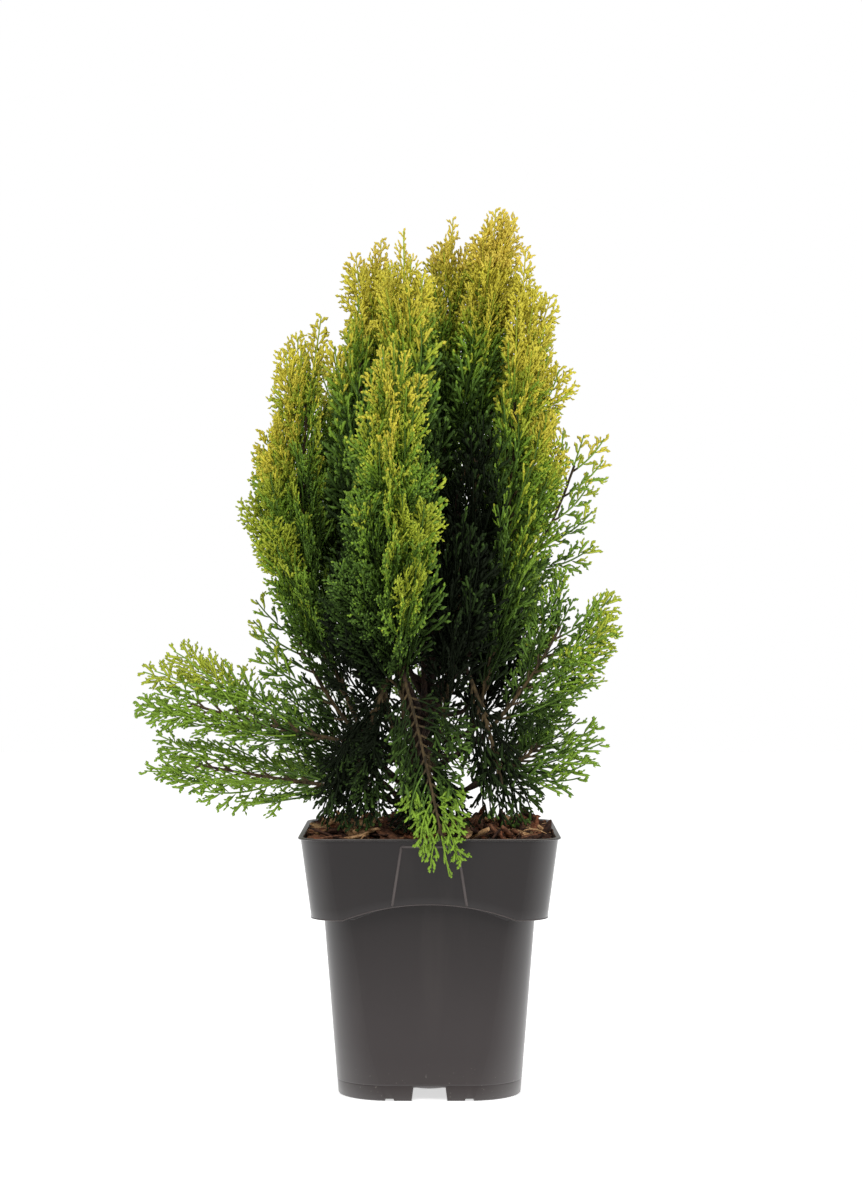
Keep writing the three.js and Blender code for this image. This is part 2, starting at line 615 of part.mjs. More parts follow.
// A spray as a flat toothed blade: thick along its rib, sharp at its edge, its root sunk in the stem.
function blade(spray) {
  const points = [];
  const faces = [];
  const add = ({ x, y }, lift) => points.push(new THREE.Vector3(x, y, lift)) - 1;
  const spacing = 1 / (SPRAY.teeth + SPRAY.endShare);
  const notches = Array.from({ length: SPRAY.teeth }, (_, tooth) => (tooth + 1) * spacing);
  const ribShares = [0, ...notches.map((share) => lerp(SPRAY.bareShare, 1, share))];
  const end = add(ribPoint(spray, spray.length), 0);
  const ridges = [1, -1].map((face) =>
    ribShares.map((share) => {
      const thick = share === 0 ? SPRAY.rootThickness : SPRAY.thickness * (1 - 0.5 * share);
      return add(ribPoint(spray, share * spray.length), (face * thick) / 2);
    }),
  );
  const edges = [1, -1].map((side) => {
    const neck = ribPoint(spray, SPRAY.bareShare * spray.length);
    const root = add({ x: 0, y: side * SPRAY.rootHalfWidth }, 0);
    const start = add({ x: neck.x, y: neck.y + side * SPRAY.neckHalfWidth }, 0);
    const teeth = notches.map((share, tooth) => [
      add(besideRib(spray, (tooth + SPRAY.toothShare) / SPRAY.teeth, side, 1), 0),
      add(besideRib(spray, share, side, SPRAY.webDepth), 0),
    ]);
    return [[root, start], ...teeth];
  });
  // One face of the blade, on one side of its rib, from the root to the end.
  const skin = (ridge, edge, flip) => {
    const face = (a, b, c) => faces.push(...(flip ? [a, c, b] : [a, b, c]));
    face(ridge[0], edge[0][1], edge[0][0]);
    for (let tooth = 0; tooth < SPRAY.teeth; tooth++) {
      const [tip, notch] = edge[tooth + 1];
      face(ridge[tooth], tip, edge[tooth][1]);
      face(ridge[tooth], ridge[tooth + 1], tip);
      face(ridge[tooth + 1], notch, tip);
    }
    face(ridge[SPRAY.teeth], end, edge[SPRAY.teeth][1]);
  };
  skin(ridges[0], edges[0], false);
  skin(ridges[0], edges[1], true);
  skin(ridges[1], edges[0], true);
  skin(ridges[1], edges[1], false);
  const [leftRoot, rightRoot] = [edges[0][0][0], edges[1][0][0]];
  faces.push(ridges[0][0], leftRoot, ridges[1][0], ridges[0][0], ridges[1][0], rightRoot);
  const geometry = new THREE.BufferGeometry().setFromPoints(points);
  geometry.setIndex(faces);
  const across = spray.along.clone().cross(spray.rise);
  const frame = new THREE.Matrix4().makeBasis(spray.along, spray.rise, across).setPosition(spray.root);
  return toSolid(geometry.applyMatrix4(frame));
}

function makePlume(index) {
  const plume = PLUMES[index];
  const thick = stemRadius(plume);
  const stem = limb(stemCurve(plume), (share) => lerp(thick, STEM.tipRadius, share), STEM);
  let mass = stem.add(blade(leaderOf(index)));
  spraysOf(index)
    .filter((spray) => spray.number % plume.finer === Math.floor(plume.finer / 2))
    .forEach((spray) => (mass = mass.add(blade(spray))));
  if (index === 0) mass = mass.subtract(trunkCutter);
  return mass.decompose().reduce((best, body) => (body.volume() > best.volume() ? body : best));
}

function plumeFinish(plume) {
  if (plume.foot[2] > 280 && plume.tip[2] > 500) return FOLIAGE_GOLD;
  return /skirt|inner/.test(plume.name) ? FOLIAGE_DEEP : FOLIAGE_GREEN;
}

// ---------- Assembly ----------

const trunkCutter = makeTrunk(GAP);
const pottedThuja = new THREE.Group();
pottedThuja.name = "potted_thuja";
pottedThuja.add(piece("pot", makePot(), POT_PLASTIC));
pottedThuja.add(piece("soil", makeSoil(), POTTING_SOIL));
pottedThuja.add(piece("trunk", makeTrunk(0), BARK_SKIN));
boughed.forEach((plume) => {
  const name = `${plume.name}_bough`;
  pottedThuja.add(piece(name, makeBough(plume, trunkCutter), BARK_SKIN));
});
PLUMES.forEach((plume, index) => {
  pottedThuja.add(piece(plume.name, makePlume(index), plumeFinish(plume)));
});

export default pottedThuja;
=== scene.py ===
"""Looks of a golden thuja in a square nursery pot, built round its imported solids.

Points are worked out in millimetres, +Z up, from the middle of the pot's underside, and turned into
metres as each mesh is made. Bearings run anticlockwise seen from above: 0 is the right (+X), 90 the
back (+Y), 270 the front (-Y).
"""

import functools
import math

import bmesh
import bpy
import numpy as np
from bpy.props import FloatProperty, FloatVectorProperty, IntProperty, PointerProperty
from bpy.types import Operator, Panel, PropertyGroup
from mathutils import Matrix, Vector, noise


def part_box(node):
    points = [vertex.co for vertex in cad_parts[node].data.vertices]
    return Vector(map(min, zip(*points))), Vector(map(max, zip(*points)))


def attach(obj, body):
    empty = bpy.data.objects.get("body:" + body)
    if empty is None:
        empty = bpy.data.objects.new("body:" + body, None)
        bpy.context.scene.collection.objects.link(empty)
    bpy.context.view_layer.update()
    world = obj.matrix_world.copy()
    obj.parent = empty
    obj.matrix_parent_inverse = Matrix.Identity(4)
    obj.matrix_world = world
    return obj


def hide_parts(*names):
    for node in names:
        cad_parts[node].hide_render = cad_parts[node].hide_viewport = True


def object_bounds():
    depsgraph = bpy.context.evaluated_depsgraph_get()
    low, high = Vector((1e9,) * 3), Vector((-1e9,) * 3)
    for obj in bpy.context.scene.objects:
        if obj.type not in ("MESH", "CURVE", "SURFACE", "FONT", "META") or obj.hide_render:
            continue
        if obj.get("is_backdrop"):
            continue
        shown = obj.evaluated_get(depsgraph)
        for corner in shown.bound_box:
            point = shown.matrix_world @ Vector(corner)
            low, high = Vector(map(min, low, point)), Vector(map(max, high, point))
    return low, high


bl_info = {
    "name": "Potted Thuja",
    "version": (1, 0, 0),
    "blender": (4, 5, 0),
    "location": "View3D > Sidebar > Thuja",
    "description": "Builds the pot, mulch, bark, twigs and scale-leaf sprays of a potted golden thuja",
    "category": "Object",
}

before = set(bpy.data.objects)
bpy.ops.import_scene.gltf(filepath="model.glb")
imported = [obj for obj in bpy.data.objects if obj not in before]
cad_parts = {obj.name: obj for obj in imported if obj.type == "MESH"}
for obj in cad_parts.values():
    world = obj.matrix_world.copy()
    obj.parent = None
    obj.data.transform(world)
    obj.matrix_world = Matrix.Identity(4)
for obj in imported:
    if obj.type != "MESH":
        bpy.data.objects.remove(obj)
CAD_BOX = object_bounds()

MM = 0.001
BODY = "root"
POT_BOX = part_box("pot")

# ---------- Driving dimensions, in millimetres ----------

POT = {
    "collar_top_width": 167,
    "collar_foot_width": 153.5,
    "collar_foot_height": 118.5,
    "collar_foot_corner": 21,
    "collar_arch_rise": 10.5,
    "body_top_width": 137.4,
    "body_top_corner": 20,
    "crease_height": 34,
    "crease_width": 125,
    "crease_corner": 27,
    "foot_width": 120.5,
    "foot_corner": 36,
    "rim_corner": 20,
    "wall": 1.8,
    "floor_height": 9.3,
    "ledge_height": 133,
    "foot_ring": 10,
    "floor": 1.5,
    "under_lip": 1.7,
    # The bead's radius; the bead is pale, and paints the highlight on the collar's edge.
    "bead": 0.3,
}
# The rolled lip, as insets from the rim's width and depths under its top.
LIP = ((3.1, 0.15), (2.4, 0), (0.7, 0), (0.2, 0.2), (0, 0.5), (0, 1), (0.3, 1.3), (0.9, 1.4))
NOTCH = {"half_width": 11.5, "height": 8.6, "slant": 1.6}
SLOT = {"from": 23.25, "to": 28.75, "height": 1.3, "slant": 0.4}
FOOT_PAD_RADIUS = 14
LABEL_PANEL = {"top_width": 36, "foot_width": 48, "top": 167, "rib": 1.1, "proud": 0.9}

SOIL_TOP = 167
TRUNK_FOOT = (165, 15)
TRUNK_TOP = (24, 22, 398)
TRUNK = {
    "lean": 6,
    "foot_radius": 5.6,
    "top_radius": 2,
    "flare_radius": 8.5,
    "flare_height": 16,
    "sunk": 3,
}
GAP = 0.3
BOUGH = {"tip_radius": 1.5, "rise": 0.45, "thicken": 0.014}
STEM = {"segments": 5, "share": 0.8, "tip_radius": 0.9, "bulge": 0.05}
SPRAY = {
    "tooth_angle": 38,
    "bare_share": 0.14,
    "width_share": 0.38,
    "narrowing": (1.1, 0.85),
    "tries": 5,
    "shrink": 0.93,
    "tuck": 0.8,
    "stations": 6,
    "tested_from": 0.18,
    "outline": (0.12, 0.84, 0.75),
    "swing_play": 16,
    "lean_play": 14,
    "roll_play": 50,
    "length": (0.86, 1.14),
    "inner_length": 0.72,
    "tapering": 0.45,
    "curl": (48, 26),
}
# How far sprays keep from limbs and the rim, how far they may reach into the next plume's space and
# past the solids' box, and how far the tips of twigs keep from limbs.
CLEAR = {"limb": 1.7, "rim": 3, "mingle": 9, "beyond": 2, "twig": 0.8}


def upright(name, leaves, foot, tip, blades, reach, fan, bulge=STEM["bulge"], turn=0):
    """A plume whose sprays turn all round its stem."""
    return dict(
        name=name, leaves=leaves, foot=foot, tip=tip, blades=blades, reach=reach, fan=fan,
        bulge=bulge, turn=turn, level=False, lean=(48, 28), finer=11, leader=0.2,
    )


def level(name, leaves, foot, tip, blades, reach, fan, turn=0, finer=3):
    """A plume with a nearly level or hanging stem and its sprays in two ranks, over and under it, or
    to either side where it is given a turn."""
    plume = upright(name, leaves, foot, tip, blades, reach, fan, turn=turn)
    plume.update(level=True, lean=(60, 34), finer=finer, leader=0.32)
    return plume


# Name, height where its bough leaves the trunk, foot and tip as (bearing, out, height), blades, reach, fan.
PLUMES = (
    upright("crown_right", TRUNK_TOP[2], (24, 22, 398), (2, 44, 587), 6, 80, 180),
    upright("crown_left", 258, (172, 24, 306), (182, 32, 566), 6, 88, 180),
    upright("crown_middle", 284, (86, 22, 336), (45, 22, 583), 5, 86, 180),
    upright("crown_front", 256, (256, 20, 304), (242, 36, 568), 6, 84, 180),
    upright("right_shoulder", 272, (356, 30, 318), (358, 64, 560), 5, 72, 150),
    upright("left_shoulder", 267, (204, 30, 294), (200, 50, 526), 5, 74, 150),
    upright("left_plume", 222, (186, 46, 238), (180, 72, 515), 6, 82, 140, bulge=0.18),
    upright("front_plume", 224, (242, 36, 244), (253, 78, 494), 6, 82, 120),
    upright("right_plume", 226, (342, 34, 246), (344, 60, 520), 6, 80, 140),
    upright("back_left_plume", 240, (142, 38, 250), (136, 72, 512), 5, 88, 140),
    upright("back_plume", 226, (88, 36, 246), (94, 72, 540), 5, 92, 140),
    upright("back_right_plume", 246, (44, 38, 256), (50, 64, 520), 4, 84, 140),
    upright("inner_left", 213, (218, 26, 222), (224, 56, 352), 4, 80, 180),
    upright("inner_front", 216, (290, 24, 240), (296, 46, 372), 4, 76, 180),
    upright("inner_right_front", 260, (322, 22, 286), (322, 40, 450), 4, 66, 180),
    upright("inner_right", 219, (22, 26, 226), (26, 52, 362), 4, 76, 180),
    level("right_shoot", 251, (4, 60, 338), (4, 104, 436), 3, 50, 30),
    level("middle_left_spray", 210, (174, 52, 238), (179, 100, 326), 4, 60, 34),
    level("upper_left_spray", 197, (198, 62, 232), (188, 184, 264), 5, 74, 14),
    level("lower_left_spray", 184, (208, 54, 200), (190, 182, 222), 5, 72, 14),
    level("upper_right_spray", 206, (323, 50, 240), (338, 102, 326), 4, 72, 18),
    level("lower_right_spray", 188, (328, 46, 206), (338, 86, 236), 5, 64, 18),
    level("front_droop", 246, (256, 64, 272), (277, 104, 150), 6, 42, 14, turn=90, finer=5),
    level("front_left_skirt", 234, (234, 44, 276), (230, 82, 186), 5, 72, 24, turn=90, finer=5),
    level("front_skirt", 203, (270, 32, 224), (270, 64, 192), 5, 64, 30, turn=90, finer=5),
    level("front_right_skirt", 239, (308, 42, 276), (312, 76, 186), 4, 72, 24, turn=90, finer=5),
    level("back_left_skirt", 180, (142, 38, 200), (138, 100, 240), 4, 82, 80, finer=5),
    level("back_skirt", 192, (84, 34, 206), (88, 100, 244), 4, 82, 80, finer=5),
    level("back_right_skirt", 176, (34, 40, 202), (36, 88, 236), 4, 66, 80, finer=5),
)
MASSES = [plume["name"] for plume in PLUMES]
BOUGHS = [f"{name}_bough" for name in MASSES[1:]]

# ---------- Settings that a user would change ----------


def length_setting(name, description, default):
    """A size in metres."""
    return FloatProperty(name=name, description=description, default=default, min=0, unit="LENGTH")


def colour_setting(name, description, default):
    """A plain base colour, given as 0 to 255 for red, green and blue."""
    return FloatVectorProperty(
        name=name, description=description, default=linear(default), size=3, subtype="COLOR", min=0, max=1
    )


def linear(colour):
    """A screen colour from 0 to 255 as the linear colour that shaders take."""
    return tuple(((c / 255 + 0.055) / 1.055) ** 2.4 if c > 10 else c / 255 / 12.92 for c in colour)


class PotSettings(PropertyGroup):
    """The square pot's driving sizes and its plastic."""

    height: length_setting("Height", "From the floor to the top of the lip", float(POT_BOX[1][2]))
    rim_width: length_setting("Rim width", "Across the lip", float(2 * POT_BOX[1][0]))
    plastic: colour_setting("Plastic", "Colour of the moulded plastic", (53, 48, 48))
    # The dust colour also paints the highlights on the lip and on the pale edges.
    dust_and_highlight: colour_setting("Dust", "Colour of dust and scuffs on the plastic", (150, 142, 134))


class MulchSettings(PropertyGroup):
    """The bark mulch on the soil."""

    chips: IntProperty(name="Chips", description="Number of bark chips", default=620, min=0)
    fibres: IntProperty(name="Fibres", description="Number of loose fibres", default=420, min=0)
    chip_length: length_setting("Chip length", "Length of the longest chips", 0.026)
    soil: colour_setting("Soil", "Colour of the potting soil", (44, 29, 22))


class PlantSettings(PropertyGroup):
    """How finely the plant branches."""

    twig_spacing: length_setting("Twig spacing", "Between one side twig of a spray and the next", 0.0034)
    branchlet_spacing: length_setting("Branchlet spacing", "Between branchlets along a side twig", 0.003)
    branchlet_width: length_setting("Branchlet width", "Across a green branchlet", 0.0022)
    seed: IntProperty(name="Seed", description="Changes the small irregularities", default=7)


class StageSettings(PropertyGroup):
    """The camera, the lights and the floor."""

    camera_distance: length_setting("Camera distance", "From the camera to the pot's axis", 1.841)
    camera_height: length_setting("Camera height", "Of the camera over the floor", 0.325)
    camera_side: length_setting("Camera side", "Of the camera to the right of the axis", 0.0013)
    lens: FloatProperty(
        name="Lens", description="Focal length on a 36 mm frame", default=82.41, subtype="DISTANCE_CAMERA"
    )
    floor: colour_setting("Floor", "Colour of the floor", (250, 250, 250))
    sky: FloatProperty(name="Room light", description="Strength of the white light all round", default=0.42)
    key: FloatProperty(
        name="Key light", description="Power of the large light over the camera", default=24, subtype="POWER"
    )


# ---------- Geometry helpers ----------


def polar(place):
    """A point given by its bearing, its distance out from the pot's axis and its height."""
    bearing, out, height = place
    turn = math.radians(bearing)
    return np.array([out * math.cos(turn), out * math.sin(turn), height])


def unit(vectors):
    """Vectors of length 1, along the last axis."""
    vectors = np.asarray(vectors, float)
    return vectors / np.maximum(np.linalg.norm(vectors, axis=-1, keepdims=True), 1e-9)


def mix(low, high, share):
    return low + (high - low) * share


def turned(vector, axis, angle):
    """A vector turned about a unit axis."""
    sideways = np.cross(axis, vector)
    along = axis * np.dot(axis, vector)
    return vector * math.cos(angle) + sideways * math.sin(angle) + along * (1 - math.cos(angle))


def seeded(seed):
    """A repeatable stream of numbers from 0 to 1, the same one that the solids' sprays are drawn from."""
    word = 0xFFFFFFFF
    state = seed & word
    while True:
        state = (state + 0x6D2B79F5) & word
        mixed = ((state ^ (state >> 15)) * (1 | state)) & word
        mixed = ((mixed + ((mixed ^ (mixed >> 7)) * (61 | mixed))) & word) ^ mixed
        yield ((mixed ^ (mixed >> 14)) & word) / 2**32


class Curve:
    """A curve that is walked at an even pace, by a table of its length."""

    def __init__(self, place):
        self.place = place
        self.steps = np.linspace(0, 1, 201)
        spans = np.linalg.norm(np.diff(place(self.steps), axis=0), axis=1)
        self.walked = np.concatenate([[0], np.cumsum(spans)])
        self.length = self.walked[-1]

    def at(self, share):
        return self.place(np.interp(np.asarray(share, float) * self.length, self.walked, self.steps))

    def heading(self, share):
        step = float(np.interp(share * self.length, self.walked, self.steps))
        ends = self.place(np.array([max(step - 1e-4, 0), min(step + 1e-4, 1)]))
        return unit(ends[1] - ends[0])


def bezier(*points):
    """A Bezier curve through its first and last points, pulled by those between."""
    order = len(points) - 1

    def place(steps):
        steps = np.atleast_1d(steps)[..., None]
        parts = [
            math.comb(order, i) * steps**i * (1 - steps) ** (order - i) * np.asarray(point)
            for i, point in enumerate(points)
        ]
        return sum(parts)

    return Curve(place)


def through(points):
    """A smooth curve through all its points, without overshoot where they lie close."""
    points = [np.asarray(point, float) for point in points]
    chain = [2 * points[0] - points[1], *points, 2 * points[-1] - points[-2]]

    def place(steps):
        made = []
        for step in np.atleast_1d(steps) * (len(points) - 1):
            span = min(int(step), len(points) - 2)
            a, b, c, d = chain[span : span + 4]
            before, here, after = (np.sum((q - p) ** 2) ** 0.25 for p, q in ((a, b), (b, c), (c, d)))
            leave = here * ((b - a) / before - (c - a) / (before + here) + (c - b) / here)
            arrive = here * ((c - b) / here - (d - b) / (here + after) + (d - c) / after)
            t = step - span
            made.append(
                b + leave * t + (3 * c - 3 * b - 2 * leave - arrive) * t**2
                + (2 * b - 2 * c + leave + arrive) * t**3
            )
        return np.array(made)

    return Curve(place)


def mesh_object(name, points, faces, smooth=True):
    """An object from points in millimetres and arrays of faces, each array with one number of corners."""
    mesh = bpy.data.meshes.new(name)
    points = np.asarray(points, np.float32) * MM
    mesh.vertices.add(len(points))
    mesh.vertices.foreach_set("co", points.ravel())
    sizes = np.concatenate([np.full(len(part), part.shape[1]) for part in faces])
    corners = np.concatenate([part.ravel() for part in faces])
    mesh.loops.add(len(corners))
    mesh.loops.foreach_set("vertex_index", corners.astype(np.int32))
    mesh.polygons.add(len(sizes))
    mesh.polygons.foreach_set("loop_start", (np.cumsum(sizes) - sizes).astype(np.int32))
    mesh.update(calc_edges=True)
    mesh.validate()
    if smooth:
        mesh.shade_smooth()
    made = bpy.data.objects.new(name, mesh)
    bpy.context.scene.collection.objects.link(made)
    return made


class Shape:
    """Points and faces of several parts, gathered for one mesh."""

    def __init__(self):
        self.points = []
        self.faces = []
        self.count = 0

    def add(self, points, *faces):
        """Adds points, with faces that count from the first of them."""
        points = np.asarray(points, float).reshape(-1, 3)
        self.points.append(points)
        self.faces += [np.asarray(part) + self.count for part in faces]
        self.count += len(points)

    def add_tube(self, line, radii, sides, relief=None, closed=True):
        """A round limb along a chain of points. relief(turns, walked) swells each ring by a share."""
        line = np.asarray(line, float)
        radii = np.broadcast_to(radii, len(line))
        headings = unit(np.gradient(line, axis=0))
        across = unit(np.cross(headings[0], [0.31, 0.95, 0.07]))
        walked = np.concatenate([[0], np.cumsum(np.linalg.norm(np.diff(line, axis=0), axis=1))])
        turns = np.arange(sides) * 2 * math.pi / sides
        rings = []
        for step, heading in enumerate(headings):
            across = unit(across - heading * np.dot(across, heading))
            other = np.cross(heading, across)
            swell = 1 if relief is None else relief(turns, walked[step])
            ring = np.outer(np.cos(turns) * swell, across) + np.outer(np.sin(turns) * swell, other)
            rings.append(line[step] + radii[step] * ring)
        self.add_rings(np.array(rings), closed)

    def add_rings(self, rings, closed=True):
        """A skin over rings of points, with a cap at each end where it is closed."""
        count, sides = rings.shape[:2]
        ring, side = np.meshgrid(np.arange(count - 1), np.arange(sides), indexing="ij")
        a = (ring * sides + side).ravel()
        b = (ring * sides + (side + 1) % sides).ravel()
        faces = [np.stack([a, b, b + sides, a + sides], axis=1)]
        if closed:
            last = (count - 1) * sides
            faces += [np.arange(sides)[None, ::-1], last + np.arange(sides)[None]]
        self.add(rings, *faces)

    def build(self, name, smooth=True, sharp_angle=None):
        """One object of all the parts, with every face turned outwards. Where an angle is given, the
        edges that fold by more are sharp."""
        made = mesh_object(name, np.concatenate(self.points), self.faces, smooth)
        mesh = bmesh.new()
        mesh.from_mesh(made.data)
        bmesh.ops.recalc_face_normals(mesh, faces=mesh.faces)
        mesh.to_mesh(made.data)
        mesh.free()
        if sharp_angle is not None:
            made.data.set_sharp_from_angle(angle=sharp_angle)
        return made


# ---------- Shaders ----------


class Amount:
    """A number that varies over a surface. An expression on it adds the Math nodes that work it out."""

    def __init__(self, finish, socket):
        self.finish = finish
        self.socket = socket

    def math(self, operation, first, second=None):
        values = [v for v in (first, second) if v is not None]
        node = self.finish.node("ShaderNodeMath", {"operation": operation}, dict(enumerate(values)))
        return Amount(self.finish, node.outputs[0])

    def __add__(self, other):
        return self.math("ADD", self, other)

    __radd__ = __add__

    def __sub__(self, other):
        return self.math("SUBTRACT", self, other)

    def __rsub__(self, other):
        return self.math("SUBTRACT", other, self)

    def __mul__(self, other):
        return self.math("MULTIPLY", self, other)

    __rmul__ = __mul__

    def above(self, low, high):
        """0 under one value and 1 over another, with a smooth step between."""
        settings = {"interpolation_type": "SMOOTHSTEP"}
        inputs = {"Value": self, "From Min": low, "From Max": high}
        return Amount(self.finish, self.finish.node("ShaderNodeMapRange", settings, inputs).outputs[0])


class Finish:
    """A material on one principled shader, patterned by each point's place on the object."""

    def __init__(self, name, **constants):
        self.material = bpy.data.materials.new(name)
        self.material.use_nodes = True
        self.tree = self.material.node_tree
        self.tree.nodes.clear()
        self.shader = self.node("ShaderNodeBsdfPrincipled", {}, constants)
        output = self.node("ShaderNodeOutputMaterial", {}, {})
        self.tree.links.new(self.shader.outputs[0], output.inputs["Surface"])
        self.place = self.node("ShaderNodeTexCoord", {}, {}).outputs["Object"]

    def node(self, kind, settings, inputs):
        """Adds a node: its settings first, then the values or links of its sockets."""
        node = self.tree.nodes.new(kind)
        for name, value in settings.items():
            setattr(node, name, value)
        for name, value in inputs.items():
            self.feed(node.inputs[name], value)
        return node

    def feed(self, socket, value):
        value = value.socket if isinstance(value, Amount) else value
        if isinstance(value, bpy.types.NodeSocket):
            self.tree.links.new(value, socket)
        elif socket.type == "RGBA" and len(value) == 3:
            socket.default_value = (*value, 1)
        else:
            socket.default_value = value

    def height(self):
        """How high a point lies, in metres."""
        return Amount(self, self.node("ShaderNodeSeparateXYZ", {}, {0: self.place}).outputs["Z"])

    def facing_away(self):
        """0 where the surface faces the eye, and up to 1 where it turns away."""
        return Amount(self, self.node("ShaderNodeLayerWeight", {}, {"Blend": 0.5}).outputs["Facing"])

    def noise(self, grain, detail=2, stretch=(1, 1, 1)):
        """A cloudy pattern from 0 to 1, with a grain given in metres, drawn out along an axis by stretch."""
        scale = [1 / share for share in stretch]
        scaled = self.node("ShaderNodeMapping", {}, {"Vector": self.place, "Scale": scale})
        inputs = {"Vector": scaled.outputs[0], "Scale": 1 / grain, "Detail": detail}
        return Amount(self, self.node("ShaderNodeTexNoise", {}, inputs).outputs[0])

    def blend(self, share, first, second):
        """A colour between two, by a share from 0 to 1."""
        node = self.node("ShaderNodeMix", {"data_type": "RGBA"}, {0: share, 6: first, 7: second})
        return node.outputs[2]

    def bump(self, height, depth):
        """Raises the surface by a pattern, to a depth in metres."""
        inputs = {"Height": height, "Distance": depth, "Strength": 1}
        self.feed(self.shader.inputs["Normal"], self.node("ShaderNodeBump", {}, inputs).outputs[0])

    def paint(self, **inputs):
        """Feeds the shader's sockets, each named in plain letters."""
        names = {"colour": "Base Color", "roughness": "Roughness", "gloss": "Coat Weight"}
        for name, value in inputs.items():
            self.feed(self.shader.inputs[names[name]], value)


def shade(colour, share):
    """A colour made darker or lighter by a share."""
    return tuple(min(c * share, 1) for c in colour)


def pot_plastic(settings):
    """Satin dark plastic: a fine moulded grain, long faint scuffs, dust on its foot, a pale lip painted as
    its highlight, painted shade that darkens it towards its top, and a pale sheen where it turns away."""
    gloss = {"Specular IOR Level": 0.05, "Coat IOR": 2.3, "Coat Roughness": 0.3}
    finish = Finish("moulded_plastic", **gloss)
    grain = finish.noise(0.0011, detail=3)
    scuffs = finish.noise(0.02, detail=4, stretch=(1, 1, 9)).above(0.52, 0.8)
    specks = finish.noise(0.0016, detail=1).above(0.72, 0.76)
    height = finish.height()
    low = 1 - height.above(0.002, 0.03)
    # Painted highlight: the lip's top is paled towards the dust colour.
    lip_highlight = height.above(settings.height - 0.0009, settings.height - 0.0001)
    dust_and_highlight = scuffs * 0.02 + specks * low * 0.3 + lip_highlight * 0.25 + low * 0.03
    clouds = finish.noise(0.05, detail=2)
    # Painted shade: the plastic darkens towards the top, as if shaded by the foliage over it.
    top_shaded_plastic = finish.blend(height.above(0.02, 0.145), settings.plastic, shade(settings.plastic, 0.36))
    plastic = finish.blend(clouds * 0.1, top_shaded_plastic, shade(settings.plastic, 1.5))
    finish.paint(colour=finish.blend(dust_and_highlight, plastic, tuple(settings.dust_and_highlight)))
    finish.paint(gloss=0.06 + finish.facing_away() * 0.9)
    finish.paint(roughness=0.4 + scuffs * 0.12 + grain * 0.08)
    finish.bump(grain, 0.00005)
    return finish.material


def highlit_worn_plastic(settings):
    """Pale plastic that paints the highlight on the pot's thin moulded edges, with a little dust."""
    finish = Finish("worn_edges", **{"Roughness": 0.5, "Specular IOR Level": 0.2})
    worn = finish.noise(0.01) * 0.15
    finish.paint(colour=finish.blend(worn, shade(settings.plastic, 1.55), tuple(settings.dust_and_highlight)))
    return finish.material


def scale_leaves(name, colour, gloss):
    """The green skin of a branchlet: small scale leaves, each a little lighter or darker."""
    finish = Finish(name, **{"Specular IOR Level": gloss})
    scales = finish.noise(0.0014, detail=1)
    clouds = finish.noise(0.012, detail=2)
    share = (scales * 0.55 + clouds * 0.45).above(0.3, 0.7)
    finish.paint(colour=finish.blend(share, shade(colour, 0.72), shade(colour, 1.22)))
    finish.paint(roughness=0.5 + scales * 0.2)
    finish.bump(scales, 0.0004)
    return finish.material


def stringy_bark(name, dark, light):
    """Brown bark in thin fibres that run along the limb."""
    finish = Finish(name, **{"Specular IOR Level": 0.2})
    fibres = finish.noise(0.0016, detail=4, stretch=(1, 1, 8))
    clouds = finish.noise(0.015, detail=2)
    share = (fibres * 0.7 + clouds * 0.3).above(0.35, 0.65)
    finish.paint(colour=finish.blend(share, dark, light), roughness=0.85)
    finish.bump(fibres, 0.0006)
    return finish.material


def crumbly(name, dark, light, grain):
    """Soil or a broken chip: matt, grained and uneven in colour."""
    finish = Finish(name, **{"Specular IOR Level": 0.2})
    crumbs = finish.noise(grain, detail=4)
    share = crumbs.above(0.35, 0.68)
    finish.paint(colour=finish.blend(share, dark, light), roughness=0.9)
    finish.bump(crumbs, grain * 0.4)
    return finish.material


def plain(name, colour, glow):
    """The floor's even matt finish, with a faint glow of its own so that it stays pale."""
    glowing = {"Emission Color": (1, 1, 1, 1), "Emission Strength": glow}
    finish = Finish(name, **{"Roughness": 0.6, "Specular IOR Level": 0.3, **glowing})
    finish.paint(colour=tuple(colour))
    return finish.material


def dress(made, material, slot, *nodes):
    """Gives a finished piece its material and its body, and hides the solids that it stands for. Its slot is
    not used.
    """
    made.data.materials.clear()
    made.data.materials.append(material)
    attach(made, BODY)
    if nodes:
        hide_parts(*nodes)
    return made


# ---------- Pot ----------


def pot_columns():
    """Where each upright line of the pot's grid stands: its side, its place across the flat part from
    -1 to 1, its turn into the corner in radians, and how high the foot's edge is lifted there."""
    flat = POT["foot_width"] / 2 - POT["foot_corner"]
    notch_top = (NOTCH["half_width"] - NOTCH["slant"]) / flat
    notch_foot = NOTCH["half_width"] / flat
    slot_edge = (SLOT["from"] / flat, (SLOT["from"] - SLOT["slant"]) / flat)
    marks = np.array([notch_top, notch_foot, *slot_edge])
    across = np.unique(np.round(np.concatenate([np.linspace(-1, 1, 15), marks, -marks]), 5))
    slot_turn = math.asin((SLOT["to"] - flat) / POT["foot_corner"])
    slot_end = slot_turn + SLOT["slant"] / POT["foot_corner"]
    quarter = math.pi / 2
    turns = [slot_turn, slot_end, *np.linspace(slot_end, quarter - slot_end, 11)[1:-1], quarter - slot_end]
    turns.append(quarter - slot_turn)
    columns = []
    for side in range(4):
        for place in across:
            in_notch = abs(place) < (notch_top + notch_foot) / 2
            in_slot = abs(place) > sum(slot_edge) / 2
            lift = NOTCH["height"] if in_notch else SLOT["height"] if in_slot else 0
            columns.append((side, place, 0, lift))
        for turn in turns:
            near = min(turn, quarter - turn)
            lift = SLOT["height"] if near < (slot_turn + slot_end) / 2 else 0
            columns.append((side, 1, turn, lift))
    return np.array(columns)


